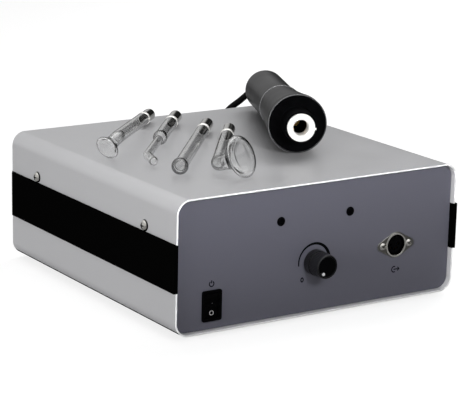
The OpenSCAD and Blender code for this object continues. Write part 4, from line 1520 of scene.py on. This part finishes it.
@dataclass
class RearSide:
    """Mains inlet and its screws at the back.

    Attributes:
        middle: Middle of the inlet.
        panel: Place of the rear panel's outer face.
        pitch: Distance of the two screws.
        screw_size: Radius and height of a screw.
        flange: Width and height of the flange.
        well: Width and height of the well behind it.
        heights: Top of the flange, then the upper and lower face of the well's floor.
        pins: Places of the pins round the middle.
    """

    middle: Point = (62.0, 49.0)
    panel: float = 117.0
    pitch: float = 40.0
    screw_size: Point = (2.8, 1.5)
    flange: Point = (48.0, 22.6)
    well: Point = (27.0, 19.6)
    heights: Triple = (2.4, -15.0, -17.0)
    pins: Sequence[Point] = ((-7, -2), (0, 2), (7, -2))

    def build(self) -> None:
        """Build and dress the inlet."""
        place = Face.REAR.at(self.middle[0], self.panel, self.middle[1])
        opening = soften([(-12, -8), (12, -8), (12, 3), (7.5, 8), (-7.5, 8), (-12, 3)], 0.8, 3, closed=True)
        flange = round_rect(*self.flange, 3)
        well = round_rect(*self.well, 0.6, 2)
        inlet = recessed(flange, well, opening, self.heights, (0.4, 3), place)
        add_piece(inlet, "mains_inlet", "case", BLACK)
        pins = Shape()
        for x, z in self.pins:
            spot = place @ Matrix.Translation((x, z, 0))
            pins.plate(round_rect(2, 4, 0.3, 2), [], -24.0, -3.0, spot)
        add_piece(pins.bevel(0.3, 2), "inlet_pins", "case", NICKEL)
        add_screws("inlet_screws", *self.screw_size, pair(place, self.pitch, self.heights[0]))


class InnerWorks:
    """Transformer, board and their parts inside the closed case."""

    def build(self) -> None:
        """Dress the inner parts."""
        dress_nodes(CORE, "transformer_core")
        dress_nodes(COPPER, "transformer_winding")
        dress_nodes(NICKEL, "transformer_screws", "board_screws")
        dress_nodes(BOARD, "circuit_board")
        dress_nodes(BRASS, "board_posts")
        dress_nodes(SINK, "heat_sink")
        dress_nodes(BLACK, "transistor")
        dress_nodes(CAN, "capacitors")


@dataclass
class Handpiece:
    """Grip, flared sleeve, nose and electrode socket of the handpiece.

    Attributes:
        at: Middle of the front rim.
        heading: Turn of the axis, in degrees.
        length: Length from the rear end to the front rim.
        grip: Radius of the rear grip.
        rim: Radius of the front rim.
        relief: Length of the strain relief.
        seam: Place of the joint between grip and sleeve.
        seam_highlight: Start and end of the sleeve's edge in front of the seam that gets a painted highlight.
        rim_highlight: Start and end of the edge at the front rim that gets a painted highlight.
        dark_bore: Radius, rear end and front end of the part of the bore painted dark, a painted shade in the
            deep bore.
    """

    at: Triple = (30.3, -34.0, 116.5)
    heading: float = -115.3
    length: float = 151.0
    grip: float = 15.4
    rim: float = 20.9
    relief: float = 14.0
    seam: float = -72.0
    seam_highlight: Point = (0.45, 2.0)
    rim_highlight: Point = (-0.85, -0.35)
    dark_bore: Triple = (6.3, -11.5, 5.0)

    @property
    def place(self) -> Matrix:
        """Return the frame of the handpiece, Z out of the socket."""
        lean = 90 - math.degrees(math.asin((self.rim - self.grip) / self.length))
        return lying(self.at, lean, self.heading)

    def build(self) -> None:
        """Build and dress the handpiece."""
        self.shells()
        self.socket()
        dress_nodes(CREAM, "coil_former")
        dress_nodes(COPPER, "coil_winding")
        self.rear_end()

    def shells(self) -> None:
        """Build grip, sleeve and nose."""
        seam, grip, rim = self.seam, self.grip, self.rim
        tube = [
            (grip - 2, -self.length), (grip - 1.2, -self.length), (grip, 1.2 - self.length),
            (grip, seam - 0.5), (grip - 0.4, seam), (grip - 2, seam),
        ]
        add_turned("handpiece_grip", "handpiece", GRIP, tube, self.place, (0.5, 4), 96, closed=True)
        flare = [(grip + 0.55, seam + 2.0), (grip + 1.4, seam + 20), (rim - 0.6, -10.0), (rim - 0.25, -7.4)]
        sleeve = [
            (grip - 2, seam), (grip - 0.2, seam), (grip + 0.9, seam + 0.6), (grip + 0.9, seam + 1.3),
            *soften(flare, 30.0, 10), (rim - 0.6, -7.1), (rim - 0.6, -6.6), (rim, -6.2), (rim, -0.9),
            (rim - 0.4, -0.3), (rim - 0.8, -0.3), (rim - 0.8, -5.6), (rim - 3.0, -10.0),
            (grip - 1.1, seam + 20),
        ]
        piece = add_turned(
            "handpiece_sleeve", "handpiece", GRIP, sleeve, self.place, (0.35, 3), 112, closed=True
        )
        stretches = ((seam + self.seam_highlight[0], seam + self.seam_highlight[1]), self.rim_highlight)

        def edge(spot: Vector, normal: Vector) -> bool:
            """Tell whether a face lies on the edge at the seam or at the front rim that gets the painted
            highlight.
            """
            return spot.xy.length > grip and any(low < spot.z < high for low, high in stretches)

        # Painted highlight: the sleeve's edges at the seam and front rim are set in light grey.
        refinish(piece, SLEEVE_EDGE_HIGHLIGHT, edge, self.place)
        nose = [
            (9.85, -5.0), (rim - 0.9, -5.0), (rim - 0.9, -0.8), (rim - 1.4, -0.4), (12.4, -0.4),
            (11.8, 0.2), (11.2, 13.2), (10.6, 14.0), (9.85, 14.0),
        ]
        add_turned("handpiece_nose", "handpiece", DARK, nose, self.place, (0.4, 4), 96, closed=True)

    def socket(self) -> None:
        """Build the white bush with painted shade in its deep bore, and its contact spring."""
        profile = [
            (0.0, -12.0), (9.8, -12.0), (9.8, 15.4), (9.2, 16.0), (6.6, 16.0), (5.5, 15.0), (5.5, 5.0),
            (5.5, -9.0), (3.1, -9.0), (3.1, -10.8), (0.0, -10.8),
        ]
        bush = Shape().revolve(soften(profile, 0.4, 4), self.place, 80)
        side = self.place @ spin(110, "Z")
        slot = Shape().plate([(-6.2, -2.1), (-3.0, -2.1), (-3.0, 2.1), (-6.2, 2.1)], [], -10.7, 7.3, side)
        bush.cut(slot)
        tab = self.place @ spin(85, "Z")
        bush.plate([(9.0, -0.7), (10.6, -0.7), (10.6, 0.7), (9.0, 0.7)], [], 14.3, 15.7, tab)
        piece = add_piece(bush, "socket_bush", "handpiece", WHITE)
        # Painted shade: the deep part of the white bore and its floor are set in dark matt black.
        wide, low, high = self.dark_bore
        refinish(
            piece, DARK, lambda spot, normal: spot.xy.length < wide and low < spot.z < high, self.place
        )
        spring = Shape().plate(circle(3.0, 40), [], -10.75, -10.2, self.place)
        leaf = [
            (-10.8, -6.1), (-10.8, -2.6), (-10.2, -2.6), (-10.2, -5.5), (-4.0, -5.1), (1.0, -4.2),
            (4.0, -3.9), (6.0, -4.5), (7.0, -5.5), (7.1, -6.0), (5.9, -5.1), (4.0, -4.5), (1.0, -4.8),
            (-4.2, -5.7),
        ]
        upright = side @ Matrix(((0, 1, 0, 0), (0, 0, 1, 0), (1, 0, 0, 0), (0, 0, 0, 1)))
        spring.plate(leaf, [], -2.0, 2.0, upright)
        add_piece(spring.bevel(0.1, 2), "contact_spring", "handpiece", LEAF)

    def rear_end(self) -> None:
        """Build the end cap and the strain relief."""
        end = -self.length
        wide = self.grip - 2.05
        cap = [(4.05, end), (wide, end), (wide, end + 5), (4.05, end + 5)]
        add_turned("end_cap", "handpiece", BLACK, cap, self.place, (0.4, 3), 72, closed=True)
        out = end - self.relief
        starts = [(3.1 + 1.5 * (k + 0.5) / 6, out + 1.0 + k * 2.1) for k in range(6)]
        sleeve = [
            (0.0, out), (3.0, out), *ribs(starts, 0.35, (1.3, 1.5, 1.9)), (4.6, end - 0.4), (3.95, end),
            (3.95, end + 5.2), (5.2, end + 5.3), (5.2, end + 8), (0.0, end + 8),
        ]
        add_turned("strain_relief", "handpiece", BLACK, sleeve, self.place, (0.25, 3), 48)


@dataclass
class Lead:
    """Lead from the handpiece over the rear edge to a tied coil, and its plug.

    Attributes:
        hand: Handpiece that the lead comes out of.
        radius: Radius of the lead.
        coil_middle: Middle of the coil on the floor.
        coil_low: Height of the lower layer.
        coil_out: Outer radius of the coil.
        pitch: Distance of neighbouring turns.
        turns: Turns in all.
        turns_in: Turns of the lower layer.
        tail: Length between the coil and the plug.
    """

    hand: Handpiece
    radius: float = 2.5
    coil_middle: Point = (15.0, 192.0)
    coil_low: float = 3.6
    coil_out: float = 38.8
    pitch: float = 5.6
    turns: int = 6
    turns_in: int = 3
    tail: float = 34.0

    def start(self) -> Vector:
        """Return the point where the lead leaves the strain relief."""
        return self.hand.place @ Vector((0, 0, -self.hand.length - self.hand.relief))

    def route(self) -> list[Vector]:
        """Lay out the free run from the strain relief to the coil.

        Returns:
            Points of the run.
        """
        axis = (self.hand.place.to_3x3() @ Vector((0, 0, 1))).normalized()
        start = self.start()
        entry_y = self.coil_middle[1] - self.coil_out
        given = [
            (102.6, 125, 108.4), (99, 131, 102.8), (93.2, 135, 96.4), (87.2, 137.4, 91.6), (82.8, 139, 86.6),
            (79.6, 140.5, 80), (77.5, 141, 72), (75.5, 141.5, 62), (74, 142, 50), (72, 143, 37.5),
            (68.5, 145, 26), (62.5, 148, 16.5), (53.5, 151, 9.5), (43, 152.5, 5.4), (32.5, entry_y, 3.8),
            (26, entry_y, self.coil_low), (20, entry_y, self.coil_low),
        ]
        return [start, start - 5 * axis, *(Vector(point) for point in given)]

    @staticmethod
    def curved(points: Sequence[Vector], parts: int) -> list[Vector]:
        """Lay a smooth line through points.

        Args:
            points: Points to pass through.
            parts: Parts between each pair.

        Returns:
            Points of the line.
        """
        made = []
        last = len(points) - 1
        for i in range(last):
            a, b, c, d = points[max(i - 1, 0)], points[i], points[i + 1], points[min(i + 2, last)]
            for k in range(parts):
                t = k / parts
                made.append(0.5 * (
                    2 * b + (c - a) * t + (2 * a - 5 * b + 4 * c - d) * t**2 + (3 * b - a - 3 * c + d) * t**3
                ))
        return [*made, points[-1]]

    def coil_point(self, turn: float) -> Vector:
        """Find a point of the coil, which winds in below and out above.

        Args:
            turn: Turns from the start of the coil.

        Returns:
            The point.
        """
        back = self.turns_in + 0.25
        inward = turn if turn < back else 2 * back - turn
        size = self.coil_out - self.pitch * inward
        angle = math.radians(-90 - 360 * turn)
        z = self.coil_low + self.pitch * held((turn - self.turns_in) * 2)
        x, y = self.coil_middle
        return Vector((x + size * math.cos(angle), y + size * math.sin(angle), z))

    def points(self) -> list[Vector]:
        """Lay out the whole lead from the strain relief to the plug.

        Returns:
            Points of the lead.
        """
        steps = 64
        coil = [self.coil_point(k / steps) for k in range(self.turns * steps + 1)]
        out = coil[-1] - Vector((5, 0, 0))
        return [*self.curved(self.route(), 8), *coil, out, out - Vector((self.tail, 0, 0))]

    def build(self) -> None:
        """Build and dress the lead, its tie and its plug."""
        line = [point * MM for point in self.points()]
        data = bpy.data.curves.new("lead", "CURVE")
        data.dimensions = "3D"
        data.bevel_depth = self.radius * MM
        data.bevel_resolution = 6
        data.use_fill_caps = True
        spline = data.splines.new("POLY")
        spline.points.add(len(line) - 1)
        for spot, point in zip(spline.points, line):
            spot.co = (*point, 1.0)
        data.materials.append(SHEATH.material())
        lead = stand("lead", data)
        hang(lead, "handpiece", ["lead_run", "lead_coil", "lead_tail"])
        ends = [self.tie(), *self.plug()]

    def tie(self) -> Object:
        """Build the strap round one side of the coil.

        Returns:
            The strap.
        """
        middle = (44.7, 192.0, 6.4)
        place = Face.FRONT.at(*middle)
        strap = Shape().plate(
            round_rect(26.2, 12.8, 3.4), [round_rect(24.4, 11.2, 2.6)], -4.0, 4.0, place
        ).bevel(0.2, 2)
        spot = place @ Matrix.Translation((5.0, 5.6, 0))
        buckle = Shape().plate(round_rect(9.0, 1.4, 0.5, 3), [], -3.9, 3.9, spot)
        strap.add(buckle.bevel(0.2, 2), Matrix())
        return add_piece(strap, "lead_tie", "handpiece", SHEATH)

    def plug(self) -> list[Object]:
        """Build the boot, the shell and the pins of the plug.

        Returns:
            The three pieces.
        """
        place = Matrix.Translation(self.points()[-1]) @ spin(-90, "Y")
        starts = [(3.5 + 0.9 * k / 4, 1.2 + k * 2.4) for k in range(4)]
        boot = [
            (0.0, 0.0), (3.3, 0.0), *ribs(starts, 0.3, (1.5, 1.7, 2.2)), (4.4, 11.0), (8.0, 14.0),
            (8.2, 16.0), (8.2, 22.0), (7.8, 22.3), (7.8, 23.3), (8.2, 23.6), (8.2, 24.6), (7.8, 24.9),
            (7.8, 25.9), (8.2, 26.2), (8.2, 36.0), (0.0, 36.0),
        ]
        shell = [(0.0, 35.9), (6.6, 35.9), (6.6, 47.0), (6.1, 47.0), (6.1, 38.0), (0.0, 38.0)]
        pins = Shape()
        for k in range(5):
            turn = math.radians(45 * k)
            spot = place @ Matrix.Translation((3.5 * math.cos(turn), 3.5 * math.sin(turn), 0))
            pins.revolve(soften([(0.0, 37.9), (0.7, 37.9), (0.7, 46.0), (0.0, 46.0)], 0.4, 4), spot, 20)
        return [
            add_turned("plug_boot", "handpiece", BLACK, boot, place, (0.4, 3), 56),
            add_turned("plug_shell", "handpiece", NICKEL, shell, place, (0.25, 3), 56),
            add_piece(pins, "plug_pins", "handpiece", BRASS),
        ]


@dataclass
class Electrode:
    """Glass electrode in its metal cap.

    Attributes:
        kind: First part of its names.
        at: Place of the cap's end.
        lean: Lean of the axis from upright, in degrees.
        heading: Turn of the axis, in degrees.
        roll: Turn about the axis, in degrees.
        bend_start: Distance along the axis where the bend starts.
        bend_radius: Radius of the bend.
        bend_angle: Angle of the bend, in degrees.
        outline: Outer radius and distance along the tube behind the shoulder.
        ends: Stretches along the axis where the glass is worked into another form and its painted dark rims
            come in sooner.
        end_glass: Glass of these stretches, with stronger painted dark rims.
        wall: Thickness of the glass.
        step: Distance of the rows of points that follow the bend.
        bead: Start of the cap's bead along the axis, and the radius that it stands over, where the cap gets a
            painted highlight.
    """

    kind: str
    at: Triple
    lean: float
    heading: float
    roll: float
    bend_start: float
    bend_radius: float
    bend_angle: float
    outline: list[Point]
    ends: tuple[Point, ...]
    end_glass: ClearGlass = END_GLASS_DARK_RIMS
    wall: float = 1.0
    step: float = 2.0
    bead: Point = (22.7, 4.1)

    @property
    def body(self) -> str:
        """Return the body that carries this electrode."""
        return f"{self.kind}_electrode"

    @property
    def place(self) -> Matrix:
        """Return the frame of the electrode, Z from the cap's end along the tube."""
        return lying(self.at, self.lean, self.heading, self.roll)

    @property
    def bend_end(self) -> float:
        """Return the distance along the tube where the bend ends."""
        return self.bend_start + self.bend_radius * math.radians(self.bend_angle)

    def spine(self, distance: float) -> Matrix:
        """Find the frame at a distance along the tube's middle.

        Args:
            distance: Distance from the cap's end.

        Returns:
            The frame, Z along the tube.
        """
        if distance <= self.bend_start:
            return self.place @ Matrix.Translation((0, 0, distance))
        turn = min((distance - self.bend_start) / self.bend_radius, math.radians(self.bend_angle))
        x = self.bend_radius * (1 - math.cos(turn))
        z = self.bend_start + self.bend_radius * math.sin(turn)
        bent = self.place @ Matrix.Translation((x, 0, z)) @ Matrix.Rotation(turn, 4, "Y")
        return bent @ Matrix.Translation((0, 0, max(distance - self.bend_end, 0.0)))

    def inner(self, profile: Profile) -> list[Point]:
        """Lay out the inside of the glass.

        Args:
            profile: Outer profile.

        Returns:
            The profile moved in by the wall.
        """
        made: list[Point] = []
        count = len(profile)
        for i, (radius, distance) in enumerate(profile):
            before, after = profile[max(i - 1, 0)], profile[min(i + 1, count - 1)]
            run = (Vector(after) - Vector(before)).normalized()
            if i == count - 1:
                made.append((0.0, distance - self.wall))
                continue
            spot = Vector((radius, distance)) + Vector((-run.y, run.x)) * self.wall
            made.append((max(spot.x, 0.05), spot.y))
        made[0] = (profile[0][0] - self.wall, profile[0][1])
        return made

    def build(self) -> None:
        """Build and dress the glass and the cap."""
        root = [(3.9, 14.2), (3.9, 26.0), (4.4, 26.5), (4.8, 27.5)]
        outer = soften([*root, *self.outline], 2.6, 6)
        tube = [*reversed(refine(self.inner(outer), self.step)), *refine(outer, self.step)]
        glass = Shape().along(tube, self.spine, 48)
        piece = add_piece(glass, f"{self.kind}_glass", self.body, GLASS, smooth=80)

        def worked(spot: Vector, normal: Vector) -> bool:
            """Tell whether a face lies where the glass is worked into another form and gets the stronger
            painted dark rims.
            """
            return any(low < spot.z < high for low, high in self.ends)

        # Painted shade: the heads get the glass whose painted dark rims come in sooner.
        refinish(piece, self.end_glass, worked, self.place)
        cap = [
            (0.0, 0.0), (2.0, 0.0), (2.2, 0.6), (3.8, 1.0), (4.6, 2.0), (4.6, 22.4), (4.8, 22.7), (5.1, 23.5),
            (5.1, 24.0), (4.8, 25.3), (4.4, 26.0), (3.95, 26.0), (3.95, 14.0), (0.0, 14.0),
        ]
        piece = add_turned(f"{self.kind}_cap", self.body, CHROME, cap, self.place, (0.45, 4), 56)
        start, over = self.bead
        # Painted highlight: the bead's outer faces get a bright finish.
        refinish(piece, BEAD_HIGHLIGHT, lambda spot, normal: spot.z > start and spot.xy.length > over, self.place)


def round_end(radius: float, distance: float, start: float = 0.0, steps: int = 14) -> list[Point]:
    """Return the round end of a tube.

    Args:
        radius: Radius of the end.
        distance: Place of its middle along the tube.
        start: Angle in degrees at which the curve starts.
        steps: Pieces of the curve.

    Returns:
        The points from the start to the axis.
    """
    made = []
    for k in range(steps):
        angle = math.radians(start + (90 - start) * k / steps)
        made.append((radius * math.cos(angle), distance + radius * math.sin(angle)))
    return [*made, (0.0, distance + radius)]


def head(neck: float, start: float, run: float, radius: float, thick: float, flare: float) -> list[Point]:
    """Return the outline of a round flat head on a neck that opens toward it.

    Args:
        neck: Radius of the neck.
        start: Place where the neck starts to open.
        run: Length of the opening.
        radius: Radius of the head.
        thick: Thickness of the head.
        flare: Gain of the neck's radius on its first part.

    Returns:
        Points of radius and distance.
    """
    end = start + run
    return [
        (neck, start), (neck + flare, start + run * 0.4), (radius * 0.78, end - thick * 0.4),
        (radius * 0.95, end - thick * 0.2), (radius, end + thick * 0.15), (radius * 0.95, end + thick * 0.5),
        (radius * 0.78, end + thick * 0.72), (0.0, end + thick * 0.85),
    ]


def bend_run(radius: float, angle: float) -> float:
    """Return the length that a bend takes up on each side of its corner."""
    return radius * math.tan(math.radians(angle / 2))


def electrodes() -> list[Electrode]:
    """Describe the four electrodes on the lid.

    Returns:
        The disc, the hook, the ball and the bell.
    """
    disc_run = bend_run(12, 38.7)
    disc = Electrode(
        "disc", (-6.1, 107.1, 100.35), lean=86, heading=-131.5, roll=-39.2, bend_start=119.6 - disc_run,
        bend_radius=12, bend_angle=38.7, outline=[], ends=((118.0, 200.0),),
    )
    disc.outline = [(4.6, disc.bend_start - 1), *head(4.6, disc.bend_end, 12 - disc_run, 8.7, 3.6, 0.4)]
    hook_run = bend_run(10, 29.6)
    hook = Electrode(
        "hook", (9, 93.6, 100.4), lean=90, heading=-130, roll=78.9, bend_start=133.4 - hook_run,
        bend_radius=10, bend_angle=29.6, outline=[], ends=((72.0, 80.5),),
    )
    hook.outline = [
        (4.8, 72.4), (5.1, 75.0), (5.1, 77.8), (3.0, 81.4), (3.0, hook.bend_end),
        *round_end(3.0, hook.bend_end + 10),
    ]
    ball = Electrode(
        "ball", (15.3, 59.8, 100.4), lean=90 - math.degrees(math.asin((5.8 - 5.1) / 141.5)), heading=-129.8,
        roll=0, bend_start=500, bend_radius=10, bend_angle=0,
        outline=round_end(5.8, 141.5, -math.degrees(math.acos(4.8 / 5.8)), 20), ends=((138.5, 200.0),),
        end_glass=BALL_GLASS_DARK_RIMS,
    )
    bell_run = bend_run(9, 64.9)
    bell = Electrode(
        "bell", (20, 37.5, 100.4), lean=89.5, heading=-126.7, roll=115.7, bend_start=118.8 - bell_run,
        bend_radius=9, bend_angle=64.9, outline=[], ends=((112.0, 200.0),),
    )
    bell.outline = [(5.0, bell.bend_start - 1), *head(5.0, bell.bend_end, 19 - bell_run, 14.8, 5.4, 1.6)]
    return [disc, hook, ball, bell]


def main() -> None:
    """Build the set piece by piece."""
    logging.basicConfig(level=logging.INFO, format="%(name)s: %(message)s")
    Studio().build()
    hand = Handpiece()
    Lead(hand).build()
    for part in (MetalCase(), Controls(), OutputSocket(), RearSide(), InnerWorks(), hand, *electrodes()):
        part.build()


if __name__ == "__main__":
    main()
